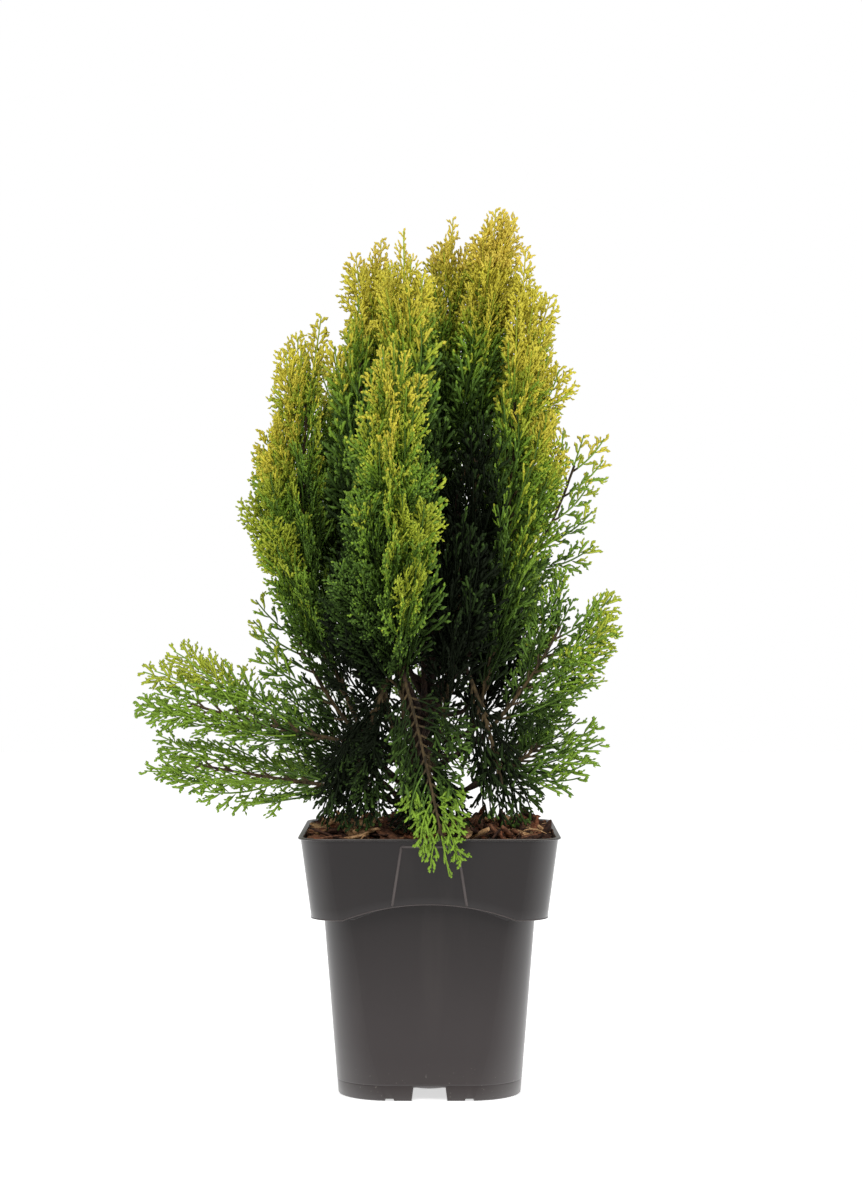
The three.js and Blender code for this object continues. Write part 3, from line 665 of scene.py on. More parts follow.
def pot_row(columns, width, corner, height):
    """One level line round the pot, a rounded square of a given width and corner radius."""
    side, place, turn = columns[:, 0], columns[:, 1], columns[:, 2]
    flat = width / 2 - corner
    x = place * flat + corner * np.sin(turn)
    y = -width / 2 + corner * (1 - np.cos(turn))
    quarter = side * math.pi / 2
    return np.stack(
        [x * np.cos(quarter) - y * np.sin(quarter), x * np.sin(quarter) + y * np.cos(quarter),
         np.broadcast_to(height, len(columns))],
        axis=1,
    )


def collar_size(level, height):
    """The collar's width and corner radius at a level."""
    share = (level - POT["collar_foot_height"]) / (height - POT["collar_foot_height"])
    corner = mix(POT["collar_foot_corner"], POT["rim_corner"], share)
    return mix(POT["collar_foot_width"], POT["collar_top_width"], share), corner


def collar_edge(columns):
    """The height of the collar's lower edge, which arches up in the middle of each side."""
    arch = np.where(columns[:, 2] == 0, POT["collar_arch_rise"] * (1 - columns[:, 1] ** 2), 0)
    return POT["collar_foot_height"] + arch


def pot_skin(settings):
    """The pot's whole skin as one closed grid, from the middle of its floor inside to the pad below."""
    height = settings.height / MM
    rim = settings.rim_width / MM
    columns = pot_columns()
    lift = columns[:, 3]
    edge = collar_edge(columns)
    wall = POT["wall"]

    def collar(level):
        return collar_size(level, height)

    def body(level):
        share = (level - POT["crease_height"]) / (POT["collar_foot_height"] - POT["crease_height"])
        corner = mix(POT["crease_corner"], POT["body_top_corner"], share)
        return mix(POT["crease_width"], POT["body_top_width"], share), corner

    def foot(level):
        share = level / POT["crease_height"]
        corner = mix(POT["foot_corner"], POT["crease_corner"], share)
        return mix(POT["foot_width"], POT["crease_width"], share), corner

    rows = []

    def row(size, level, inset=0):
        width, corner = size
        rows.append(pot_row(columns, width - 2 * inset, np.maximum(corner - inset, 3), level))

    inner_floor = POT["floor_height"] + POT["floor"]
    row(foot(inner_floor), inner_floor, 40)
    row(foot(inner_floor), inner_floor, wall + 1)
    row(foot(inner_floor), inner_floor + 1, wall)
    row(body(POT["crease_height"]), POT["crease_height"], wall)
    row(body(POT["ledge_height"]), POT["ledge_height"], wall)
    row(collar(POT["ledge_height"]), POT["ledge_height"], wall)
    row(collar(height - 3), height - 3, wall)
    row(collar(height - 0.6), height - 0.6, wall)
    for inset, depth in LIP:
        row((rim, POT["rim_corner"]), height - depth, inset)
    top = height - POT["under_lip"]
    for share in np.linspace(0, 1, 9):
        level = mix(top, edge + 1, share)
        row(collar(level), level)
    row(collar(edge), edge + 0.3, 0.25)
    row(collar(edge), edge, 0.8)
    row(collar(edge), edge, wall + 0.6)
    row(body(edge), edge + 0.8, -0.9)
    row(body(edge), edge, 0)
    for share in np.linspace(0, 1, 9)[1:]:
        level = mix(edge, POT["crease_height"], share)
        row(body(level), level)
    for level in (32, 24, 16, 11.2, 10.6):
        row(foot(level), level)
    row(foot(10.2), 10.2, 0.3)
    row(foot(9.7), np.maximum(9.7, lift + 1), 0.05)
    row(foot(1), lift + 0.9)
    row(foot(0), lift + 0.25, 0.45)
    row(foot(0), lift, 1.2)
    ring = POT["foot_ring"] / 2
    row(foot(0), lift, ring - 0.4)
    row(foot(0), lift + 0.3, ring)
    row(foot(0), POT["floor_height"], ring)
    around = rows[-1]
    pad = FOOT_PAD_RADIUS
    for radius, level in ((pad, POT["floor_height"]), (pad, 0.5), (pad - 0.5, 0)):
        ring_row = unit(around * [1, 1, 0]) * radius
        ring_row[:, 2] = level
        rows.append(ring_row)
    shape = Shape()
    shape.add_rings(np.array(rows))
    return shape


def label_ribs(shape, height):
    """Raised ribs round a bare place for a label, on the front of the collar."""
    low = POT["collar_foot_height"] + POT["collar_arch_rise"] - 0.5
    high = LABEL_PANEL["top"]
    sunk = LABEL_PANEL["rib"] - LABEL_PANEL["proud"]

    def place(x, level):
        width, _ = collar_size(level, height)
        return np.array([x, sunk - width / 2, level])

    top, foot = LABEL_PANEL["top_width"] / 2, LABEL_PANEL["foot_width"] / 2
    corners = [place(-foot, low), place(-top, high), place(top, high), place(foot, low)]
    for start, end in zip(corners, corners[1:]):
        line = mix(start, end, np.linspace(0, 1, 8)[:, None])
        shape.add_tube(line, LABEL_PANEL["rib"] * 0.8, 12)


def paint_edge_highlight(shape, height):
    """A fine pale bead along the collar's lower edge, which paints the highlight on that edge."""
    columns = pot_columns()
    edge = collar_edge(columns)
    width, corner = collar_size(edge, height)
    line = pot_row(columns, width, corner, edge + 0.5)
    shape.add_tube(np.concatenate([line, line[:1]]), POT["bead"], 8, closed=False)


class THUJA_OT_pot(Operator):
    """Build the square pot with its stepped collar, rolled lip, label ribs and notched foot"""

    bl_idname = "thuja.pot"
    bl_label = "Pot"

    def execute(self, context):
        settings = context.scene.thuja_pot
        pot = pot_skin(settings).build("moulded_pot", sharp_angle=math.radians(38))
        dress(pot, pot_plastic(settings), "pot", "pot")
        # The label ribs and the bead are pale, as a painted highlight on the pot's edges.
        shape = Shape()
        label_ribs(shape, settings.height / MM)
        paint_edge_highlight(shape, settings.height / MM)
        dress(shape.build("moulded_edges"), highlit_worn_plastic(settings), "pot", "pot")
        return {"FINISHED"}


# ---------- Mulch ----------

# Each kind of mulch: its darker and lighter colour, and its share of the chips and of the fibres.
MULCH = {
    "dark_chips": ((36, 22, 17), (72, 48, 36), 0.34, 0.2),
    "brown_chips": ((78, 50, 36), (124, 84, 60), 0.32, 0.3),
    "red_chips": ((98, 56, 38), (142, 90, 62), 0.2, 0.25),
    "tan_chips": ((150, 112, 76), (198, 160, 118), 0.14, 0.25),
}
# A chip's sizes, as ranges that are drawn from, and how far its tilt and roll stray by chance.
CHIP = {
    "length": (0.35, 1),
    "slimness": (0.18, 0.45),
    "thickness": (1.0, 2.6),
    "width_play": (0.75, 1.2),
    "edge_play": (0.8, 1.2),
    "face_play": (0.7, 1.1),
    "ragged": 0.05,
    "bow": (-3, 5),
    "level": (-1.5, 2.5),
    "tilt": 0.22,
    "roll": 0.4,
    "furthest_inset": 18,
}
# How wide a chip is at each of its stations.
CHIP_OUTLINE = (0.35, 0.9, 1, 0.85, 0.25)
# Some chips near the right front corner stand up: from where on, how many of them and how steeply.
STANDING = {"right_of": 35, "before": 10, "share": 0.25, "tilt": (0.5, 1.0)}
# How deep the mulch is at its rim, how much deeper in the middle, and over what radius.
HEAP = {"depth": 2.2, "more": 3.5, "radius": 100}
# A fibre's sizes, how far in from the wall it starts, and how it wanders, arches and lies.
FIBRE = {
    "length": (9, 26),
    "radius": (0.3, 0.7),
    "from_wall": 8,
    "points": 7,
    "wander": (-1.2, 1.2),
    "arch": (-1, 4),
    "over_soil": 2.5,
    "level": (-1, 2.5),
    "slope": 2,
}
# The soil's top: its play inside the wall, the height and the grain of its bumps, and how far its
# middle rises over its rim. Its side goes down to the lowest of these levels, and narrows on the way.
BED = {"play": 1.6, "bumps": 3.2, "grain": 0.06, "dome": 1.5, "levels": (160, 150), "narrows": 0.4}
BED_CORNER = POT["rim_corner"] * 0.9


def soil_bed():
    """The uneven top of the soil, with its side down inside the pot."""
    rows = []
    columns = pot_columns()
    inside = POT["collar_top_width"] - 2 * POT["wall"] - BED["play"]
    for share in np.linspace(0.04, 1, 26):
        row = pot_row(columns, inside * share, BED_CORNER * share, SOIL_TOP)
        for point in row:
            bumps = noise.fractal(Vector(point) * BED["grain"], 1.0, 2.0, 4)
            point[2] += BED["bumps"] * bumps + BED["dome"] * (1 - share**2) - BED["dome"]
        rows.append(row)
    for level in BED["levels"]:
        rows.append(pot_row(columns, inside - (SOIL_TOP - level) * BED["narrows"], BED_CORNER, level))
    shape = Shape()
    shape.add_rings(np.array(rows))
    return shape


def chip(shape, draw, longest, half):
    """One splintered bark chip, lying on the bed at a random tilt."""
    place = draw.uniform(-half, half, 2)
    length = longest * draw.uniform(*CHIP["length"]) ** 1.3
    width = length * draw.uniform(*CHIP["slimness"])
    thick = draw.uniform(*CHIP["thickness"])
    grid = (len(CHIP_OUTLINE), 4)
    stations = np.linspace(-0.5, 0.5, grid[0])[:, None]
    spread = np.array(CHIP_OUTLINE) * draw.uniform(*CHIP["width_play"], grid[0])
    corners = np.array([[-1, -1], [1, -1], [1, 1], [-1, 1]]) / 2
    rings = np.zeros((*grid, 3))
    rings[:, :, 0] = stations * length + draw.uniform(-1, 1, grid) * length * CHIP["ragged"]
    rings[:, :, 1] = corners[:, 0] * width * spread[:, None] * draw.uniform(*CHIP["edge_play"], grid)
    rings[:, :, 2] = corners[:, 1] * thick * draw.uniform(*CHIP["face_play"], grid)
    rings[:, :, 2] += stations**2 * draw.uniform(*CHIP["bow"])
    heading = draw.uniform(0, 2 * math.pi)
    tilt = draw.normal(0, CHIP["tilt"])
    roll = draw.normal(0, CHIP["roll"])
    may_stand = place[0] > STANDING["right_of"] and place[1] < STANDING["before"]
    if may_stand and draw.random() < STANDING["share"]:
        tilt += draw.uniform(*STANDING["tilt"])
    low = abs(math.sin(tilt)) * length / 2
    heap = HEAP["depth"] + HEAP["more"] * (1 - np.hypot(*place) / HEAP["radius"])
    rings = rings @ spin("X", roll).T @ spin("Y", -tilt).T @ spin("Z", heading).T
    reach = min(np.abs(rings[:, :, :2]).max(), CHIP["furthest_inset"])
    place = np.clip(place, reach - half, half - reach)
    level = SOIL_TOP + heap + draw.uniform(*CHIP["level"]) + low * 0.6
    placed = rings + [*place, level]
    if inside_wall(placed, half):
        shape.add_rings(placed)


def inside_wall(points, half):
    """True where a piece of mulch keeps clear of the pot's wall, round its corners too."""
    corner = POT["rim_corner"] - POT["wall"]
    beyond = np.maximum(np.abs(points.reshape(-1, 3)[:, :2]) - (half - corner), 0)
    return bool(np.all(np.hypot(*beyond.T) < corner + 1))


def spin(axis, angle):
    """A turn about one axis."""
    return np.array(Matrix.Rotation(angle, 3, axis))


def fibre(shape, draw, half):
    """One thin curved strand of bark."""
    inner = half - FIBRE["from_wall"]
    place = draw.uniform(-inner, inner, 2)
    length = draw.uniform(*FIBRE["length"])
    heading = draw.uniform(0, 2 * math.pi)
    steps = np.linspace(0, 1, FIBRE["points"])
    turn = heading + draw.uniform(*FIBRE["wander"]) * steps
    step = length / (FIBRE["points"] - 1)
    x = place[0] + np.cumsum(np.cos(turn)) * step
    y = place[1] + np.cumsum(np.sin(turn)) * step
    arc = np.sin(math.pi * steps) * draw.uniform(*FIBRE["arch"])
    z = SOIL_TOP + FIBRE["over_soil"] + draw.uniform(*FIBRE["level"]) + arc
    z = z + steps * draw.normal(0, FIBRE["slope"])
    line = np.stack([np.clip(x, -half, half), np.clip(y, -half, half), z], axis=1)
    radii = draw.uniform(*FIBRE["radius"]) * np.sin(math.pi * (0.12 + 0.76 * steps))
    if inside_wall(line, half):
        shape.add_tube(line, radii, 4)


class THUJA_OT_mulch(Operator):
    """Fill the pot with soil and cover it with bark chips and fibres"""

    bl_idname = "thuja.mulch"
    bl_label = "Soil and mulch"

    def execute(self, context):
        settings = context.scene.thuja_mulch
        earth = crumbly("potting_soil", shade(settings.soil, 0.5), shade(settings.soil, 1.3), 0.003)
        dress(soil_bed().build("soil_bed"), earth, "soil", "soil")
        draw = np.random.default_rng(21)
        half = POT["collar_top_width"] / 2 - POT["wall"] - 2
        shapes = {name: Shape() for name in MULCH}
        names = list(shapes)
        dark, light, chip_odds, fibre_odds = zip(*MULCH.values())
        for _ in range(settings.chips):
            chip(shapes[draw.choice(names, p=chip_odds)], draw, settings.chip_length / MM, half)
        for _ in range(settings.fibres):
            fibre(shapes[draw.choice(names, p=fibre_odds)], draw, half)
        for name, shape, darker, lighter in zip(names, shapes.values(), dark, light):
            material = crumbly(name, linear(darker), linear(lighter), 0.0022)
            dress(shape.build(name, smooth=False), material, "soil", "soil")
        return {"FINISHED"}


# ---------- Limbs ----------


@functools.cache
def trunk_curve():
    """The trunk's middle line, with its slight double bend."""
    foot = polar((*TRUNK_FOOT, SOIL_TOP + GAP))
    top = polar(TRUNK_TOP)
    half = TRUNK["lean"] / 2
    lower = mix(foot, top, 0.3) + [-half, half, 0]
    upper = mix(foot, top, 0.68) + [half, half, 0]
    return through([foot, lower, upper, top])


def trunk_radius(share):
    height = share * (TRUNK_TOP[2] - SOIL_TOP)
    flare = np.maximum(0, 1 - height / TRUNK["flare_height"]) ** 2
    taper = mix(TRUNK["foot_radius"], TRUNK["top_radius"], share**0.8)
    return taper + flare * (TRUNK["flare_radius"] - TRUNK["foot_radius"])


def stem_radius(plume):
    return BOUGH["tip_radius"] * (1 if plume["reach"] > 50 else 0.8)


@functools.cache
def stem_curve(index):
    """A plume's stem: it leaves the foot outwards and turns up, or down where the plume hangs."""
    plume = PLUMES[index]
    foot, tip = polar(plume["foot"]), polar(plume["tip"])
    bend = mix(foot, tip, 0.5)
    bend[2] -= 0.1 * (tip[2] - foot[2])
    bend = bend + unit(bend * [1, 1, 0]) * plume["bulge"] * np.linalg.norm(tip - foot)
    return bezier(foot, bend, tip)


@functools.cache
def bough_curve(index):
    """A bough leaves the trunk's middle, swings out and ends facing the stem that goes on from it."""
    plume = PLUMES[index]
    start = trunk_curve().at((plume["leaves"] - SOIL_TOP) / (TRUNK_TOP[2] - SOIL_TOP))[0]
    heading = stem_curve(index).heading(0)
    end = polar(plume["foot"]) - heading * GAP
    early = mix(start, end, 0.4)
    early[2] = mix(start[2], end[2], BOUGH["rise"] * 0.7)
    return bezier(start, early, end - heading * np.linalg.norm(end - start) * 0.3, end)


def bough_radius(index, share):
    tip = stem_radius(PLUMES[index])
    return mix(tip + bough_curve(index).length * BOUGH["thicken"], tip, share)


# ---------- The branching rule, as the solids follow it ----------


class Chain:
    """A chain of points that distances are measured from."""

    def __init__(self, line, radius=None):
        self.line = line
        self.spans = np.diff(line, axis=0)
        self.squares = np.sum(self.spans**2, axis=1)
        self.radius = radius

    def at(self, share):
        place = share * len(self.spans)
        step = min(int(place), len(self.spans) - 1)
        return mix(self.line[step], self.line[step + 1], place - step)

    def nearest(self, points):
        """Each point's distance from the chain, and its share of the way along."""
        apart = points[:, None] - self.line[:-1]
        along = np.clip(np.sum(apart * self.spans, axis=2) / self.squares, 0, 1)
        distances = np.linalg.norm(apart - along[..., None] * self.spans, axis=2)
        best = np.argmin(distances, axis=1)
        rows = np.arange(len(points))
        return distances[rows, best], (best + along[rows, best]) / len(self.spans)


@functools.cache
def plume_chains():
    steps = np.linspace(0, 1, STEM["segments"] + 1)
    return [Chain(stem_curve(index).at(steps)) for index in range(len(PLUMES))]


@functools.cache
def limb_chains():
    chains = [Chain(trunk_curve().at(np.linspace(0, 1, 17)), trunk_radius)]
    for index in range(1, len(PLUMES)):
        radius = functools.partial(bough_radius, index)
        chains.append(Chain(bough_curve(index).at(np.linspace(0, 1, 13)), radius))
    return chains


def clear_of_limbs(points, margin):
    """True for each point outside the pot, the soil, the trunk and the boughs."""
    half = POT_BOX[1][0] / MM + CLEAR["rim"]
    over_pot = np.all(np.abs(points[:, :2]) < half, axis=1)
    clear = ~(over_pot & (points[:, 2] < POT_BOX[1][2] / MM + CLEAR["rim"]))
    for chain in limb_chains():
        distance, share = chain.nearest(points)
        clear &= distance > chain.radius(share) + margin
    return clear


def has_room(index, points):
    """True where all points are clear of limbs and nearer to their own plume's stem than to any other,
    or within a short reach of being so."""
    own = plume_chains()[index].nearest(points)[0]
    for other, chain in enumerate(plume_chains()):
        if other != index and np.any(chain.nearest(points)[0] < own - CLEAR["mingle"]):
            return False
    return bool(np.all(clear_of_limbs(points, CLEAR["limb"])))


def within_reach(points):
    """True where all points stay inside the solids' box, or beyond it by no more than a little."""
    low, high = (np.array(list(corner)) / MM for corner in CAD_BOX)
    return bool(np.all((points > low - CLEAR["beyond"]) & (points < high + CLEAR["beyond"])))


def spray_outline(share):
    """How far a side twig stands out from a spray's rib, as a share of the spray's width."""
    start, span, power = SPRAY["outline"]
    return np.sin(math.pi * (start + span * share)) ** power


class Spray:
    """A flat spray: its rib is an arc in the plane of along and rise, and turns towards rise. Its width
    is the length of its side twigs as a share of its own."""

    def __init__(self, root, along, rise, curl, length, width, number=-1):
        self.root = root
        self.along = along
        self.rise = rise
        self.across = np.cross(along, rise)
        self.curl = curl
        self.length = length
        self.width = width
        self.number = number

    def rib(self, distance):
        """Places on the rib in the spray's own plane, and the way that the rib heads there."""
        turn = self.curl * distance / self.length
        bow = self.length / self.curl
        return bow * np.sin(turn), bow * (1 - np.cos(turn)), turn

    def beside(self, share, side):
        """The tips of side twigs in the spray's own plane."""
        x, y, turn = self.rib(mix(SPRAY["bare_share"], 1, share) * self.length)
        heading = turn + side * math.radians(SPRAY["tooth_angle"])
        out = self.width * self.length * spray_outline(share)
        return x + out * np.cos(heading), y + out * np.sin(heading)

    def in_space(self, x, y, lift=0):
        x, y, lift = np.broadcast_arrays(x, y, lift)
        plane = np.stack([x, y, lift], axis=-1)
        return self.root + plane @ np.stack([self.along, self.rise, self.across])

    def fits(self, index):
        share = np.arange(1, SPRAY["stations"] + 1) / SPRAY["stations"]
        x, y, _ = self.rib(mix(SPRAY["tested_from"], 1, share) * self.length)
        left, right = self.beside(share, 1), self.beside(share, -1)
        places = [self.in_space(x, y), self.in_space(*left), self.in_space(*right)]
        points = np.concatenate(places)
        return within_reach(points) and has_room(index, points)


def sprays_of(index):
    """The sprays of one plume, from its foot to its tip. One that has no room is tucked in closer to
    the stem and shortened, and is left out in the end."""
    plume = PLUMES[index]
    random = seeded(101 + 7 * index)
    count = plume["blades"] * plume["finer"]
    sprays = []
    for number in range(count):
        share = (number + 0.5) / count
        swing_draw, lean_draw, length_draw, roll_draw = (next(random) for _ in range(4))
        at = mix(0.05, STEM["share"], share)
        root = plume_chains()[index].at(at)
        heading = stem_curve(index).heading(at)
        outward = unit(root * [1, 1, 0])
        outward = unit(outward - heading * np.dot(outward, heading))
        rank = 180 if plume["level"] and number % 2 else 0
        golden = (0.5 + 0.618034 * number) % 1
        swing = rank + plume["turn"] + plume["fan"] * (2 * golden - 1)
        swing += SPRAY["swing_play"] * (swing_draw - 0.5)
        outward = turned(outward, heading, math.radians(swing))
        inner = 1 if plume["level"] else mix(1, SPRAY["inner_length"], abs(swing) / 180)
        lean = math.radians(mix(*plume["lean"], share) + SPRAY["lean_play"] * (lean_draw - 0.5))
        length = plume["reach"] * mix(*SPRAY["length"], length_draw) * inner
        length *= 1 - SPRAY["tapering"] * share**1.5
        width = SPRAY["width_share"] * (1 if plume["level"] else mix(*SPRAY["narrowing"], share))
        for _ in range(SPRAY["tries"]):
            along = heading * math.cos(lean) + outward * math.sin(lean)
            rise = unit(heading - along * np.dot(heading, along))
            rise = turned(rise, along, math.radians(SPRAY["roll_play"] * (roll_draw - 0.5)))
            curl = math.radians(mix(*SPRAY["curl"], share))
            spray = Spray(root, along, rise, curl, length, width, number)
            if spray.fits(index):
                sprays.append(spray)
                break
            lean *= SPRAY["tuck"]
            length *= SPRAY["shrink"]
    return sprays


def leader_of(index):
    """The spray that the stem ends in, up to the plume's furthest tip."""
    root = plume_chains()[index].at(STEM["share"] - 0.04)
    tip = polar(PLUMES[index]["tip"])
    along = unit(tip - root)
    outward = unit(root * [1, 1, 0])
    rise = unit(outward - along * np.dot(outward, along))
    return Spray(root, along, rise, math.radians(1), np.linalg.norm(tip - root), PLUMES[index]["leader"])


@functools.cache
def all_sprays():
    """Every spray with its plume's number."""
    return [(index, spray) for index in range(len(PLUMES)) for spray in [*sprays_of(index), leader_of(index)]]


# ---------- Bark and twigs ----------

# The darker and the lighter colour of each bark, both darker than bark's own brown as painted shade under the
# crown.
BARK_COLOURS = ((26, 19, 16), (60, 44, 34))
TWIG_COLOURS = ((38, 32, 22), (82, 68, 44))
# How much of a spray's rib is woody, from its root.
WOODY_SHARE = 0.1
# How the relief of bark fibres runs: its twist in radians a millimetre, then how fast its broad and its
# fine swells change along the limb, and how much finer the fine ones are round it.
FIBRES = {"twist": 0.012, "broad": 0.055, "fine": 0.2, "finer": 2.3}


def fibrous(seed, depth, pitch):
    """Relief of long fibres: swells that run along the limb and twist slowly."""

    def relief(turns, walked):
        swell = []
        for turn in turns + walked * FIBRES["twist"]:
            x, y = math.cos(turn) * pitch, math.sin(turn) * pitch
            broad = noise.noise(Vector((x, y, walked * FIBRES["broad"] + seed)))
            place = Vector((x * FIBRES["finer"], y * FIBRES["finer"], walked * FIBRES["fine"] - seed))
            swell.append(1 + depth * broad * 2 + depth * noise.noise(place))
        return np.array(swell)

    return relief


class THUJA_OT_bark(Operator):
    """Build the trunk and its boughs with fibrous bark"""

    bl_idname = "thuja.bark"
    bl_label = "Trunk and boughs"

    def execute(self, context):
        shape = Shape()
        share = np.linspace(0, 1, 150)
        trunk = trunk_curve().at(share)
        trunk[0, 2] -= TRUNK["sunk"]
        shape.add_tube(trunk, trunk_radius(share), 30, fibrous(3, 0.13, 2.6))
        for index in range(1, len(PLUMES)):
            curve = bough_curve(index)
            share = np.linspace(0, 1, max(8, int(curve.length / 1.6)))
            shape.add_tube(curve.at(share), bough_radius(index, share), 14, fibrous(index * 7, 0.12, 1.8))
        material = stringy_bark("stringy_bark", *(linear(colour) for colour in BARK_COLOURS))
        dress(shape.build("bark"), material, "bark", "trunk", *BOUGHS)
        return {"FINISHED"}


class THUJA_OT_twigs(Operator):
    """Build the plumes' brown stems and the woody feet of their sprays"""

    bl_idname = "thuja.twigs"
    bl_label = "Twigs"

    def execute(self, context):
        shape = Shape()
        steps = np.linspace(0, 1, 40)
        for index, plume in enumerate(PLUMES):
            line = plume_line(index, steps)
            radii = mix(stem_radius(plume) * 0.9, STEM["tip_radius"] * 0.9, steps)
            shape.add_tube(line, radii, 9, fibrous(index * 5 + 2, 0.1, 1.7))
        for _, spray in all_sprays():
            share = np.linspace(0, WOODY_SHARE + 0.04, 6)
            x, y, _ = spray.rib(share * spray.length)
            shape.add_tube(spray.in_space(x, y), rib_radius(spray, share) + 0.05, 6)
        material = stringy_bark("twig_bark", *(linear(colour) for colour in TWIG_COLOURS))
        dress(shape.build("twigs"), material, "bark", *MASSES)
        return {"FINISHED"}


def plume_line(index, steps):
    """The plume's stem as far as its sprays grow on it."""
    chain = plume_chains()[index]
    return np.array([chain.at(share) for share in steps * STEM["share"]])


def rib_radius(spray, share):
    """A spray's rib thins out from its root to its tip."""
    return mix(0.5 + spray.length * 0.005, 0.45, share)


# ---------- Foliage ----------

# Each tint: its colour, and the record's slot that it belongs to. The tints run from painted shade,
# near-black in the crown's hollow, through the greens to the plant's own gold; a twig's tint mixes that gold
# with painted light and shade.
TINTS = (
    ("hollow_green", (16, 23, 10), "foliage_deep"),
    ("shade_green", (34, 48, 21), "foliage_deep"),
    ("deep_green", (50, 70, 27), "foliage_deep"),
    ("mid_green", (80, 110, 33), "foliage_green"),
    ("fresh_green", (116, 148, 40), "foliage_green"),
    ("yellow_green", (158, 170, 46), "foliage_green"),
    ("gold", (194, 184, 56), "foliage_gold"),
    ("amber_tips", (206, 186, 68), "foliage_gold"),
)
# The lightness at which each tint gives way to the next.
TINT_STEPS = (0, 0.13, 0.27, 0.42, 0.56, 0.7, 0.9)
# The most lightness that a twig can have: level with the rim, and how much more at the crown's top.
LIGHTEST = {"at_rim": 0.51, "more_at_top": 0.46, "power": 1.5}
LEAF_GLOSS = {"foliage_deep": 0.08, "foliage_green": 0.32, "foliage_gold": 0.32}
PIECE_TRIANGLES = 195000

# The crown's rough form: where it is widest, half its height and its radius there, then the level of
# the rim and the plant's height over it.
CROWN = {"widest": 330, "half_height": 290, "radius": 116, "rim": 172, "height": 416}
# What makes a twig lighter: the crown's top, which is gold and also gets painted light; a place near its
# surface, which gets painted light, with painted shade further in; and a place near a spray's tip.
LIGHT = {
    "least": 0.12,
    "top": 0.82,
    "top_power": 2.7,
    "outwards": 0.7,
    "surface": 0.7,
    "tips": 0.27,
    "tips_at_top": 0.12,
    "tip_power": 1.4,
}
RIB_LIGHT = {"tipness": 0.4, "darker": 0.04}
# Painted shade: the drooping spray is darker above a height, near its root.
DROOP_SHADE = {"above": 205, "gain": -0.22}
# Stretches of the crown's front with painted light, and painted shade where the gain is below 0: middle
# across, half width, lowest, highest, and how much lighter.
STRETCHES = (
    (-6, 12, 250, 405, 0.15),
    (-48, 14, 250, 460, -0.13),
    (8, 15, 405, 480, -0.14),
    (64, 17, 255, 375, 0.1),
)
# Painted light and shade: how much lighter or darker than its place says a plume is, by how its name starts.
SUNNIER = {
    "inner": -0.3,
    "crown_left": 0.05,
    "right_plume": 0.08,
    "right_shoulder": 0.06,
    "middle_left": 0.04,
    "upper_left": 0.02,
    "upper_right": -0.02,
    "lower_right": 0.06,
    "front_droop": 0.1,
    "front_left_skirt": -0.36,
    "front_skirt": -0.36,
    "front_right_skirt": -0.22,
    "back": -0.08,
}
# How much wider apart a plume's twigs stand than the settings say, by how its name starts.
LACE = {
    "upper_right": 1.25,
    "right_shoot": 1.4,
    "lower_right": 2.5,
    "upper_left": 1.55,
    "lower_left": 1.6,
    "middle_left": 1.9,
    "front_droop": 1.8,
    "front_right_skirt": 2.4,
    "front_left_skirt": 1.5,
    "front_skirt": 1.5,
    "back_left_skirt": 1.7,
    "back_skirt": 1.7,
    "back_right_skirt": 2.4,
}
# The same for all other plumes, and how much more of it there is low down.
OTHER_LACE = {"even": 1.02, "low_down": 0.5, "from": 330, "over": 60}
# Sprays inside the crown are plainer: how far in and how low they end, and their wider, stouter twigs.
PLAIN = {"inside": 0.66, "below": 500, "lace": 1.6, "stouter": 1.2}

# How each order of twig is skinned: where its rings lie along it, how wide they are, and their sides.
SIDE_TWIG = {"stations": (0.3, 0.84), "widths": (0.8, 1.0), "sides": 4}
BRANCHLET = {"stations": (0.6,), "widths": (1.0,), "sides": 4}
LOBE = {"stations": (0.55,), "widths": (1.0,), "sides": 3}
FLATNESS = 0.6

# How side twigs, all offshoots, branchlets and lobes grow. A pair is a range that is drawn from.
SIDE_GROWTH = {
    "first": 0.05,
    "fewest": 6,
    "shortest": 3.2,
    "dip": 0.1,
    "slimmer": 0.9,
    "place": (0.3, 0.7),
    "length": (0.78, 1.12),
    "bend": (0.08, 0.26),
    "tipness": (0.3, 0.95),
}
OFFSHOOT = {"first": 0.75, "end": 0.35, "length": (0.8, 1.25), "half": (0.85, 1.1), "bend": (0.05, 0.25)}
BRANCHLET_GROWTH = {"splay": 36, "share": 0.4, "shortest": 2.6, "longest": 11, "lighter": 0.12}
LOBE_GROWTH = {"splay": 34, "share": 0.1, "shortest": 2.3, "spacing": 2.1, "slimmer": 0.85, "lighter": 0.06}
LOBES_FROM = 4.6
# How far each of these strays by chance, as the deviation of a normal draw.
CHANCE = {"angle": 4, "tilt": 0.14, "roll": 0.15, "splay": 6, "lift": 0.17, "light": 0.03, "spray": 0.06}


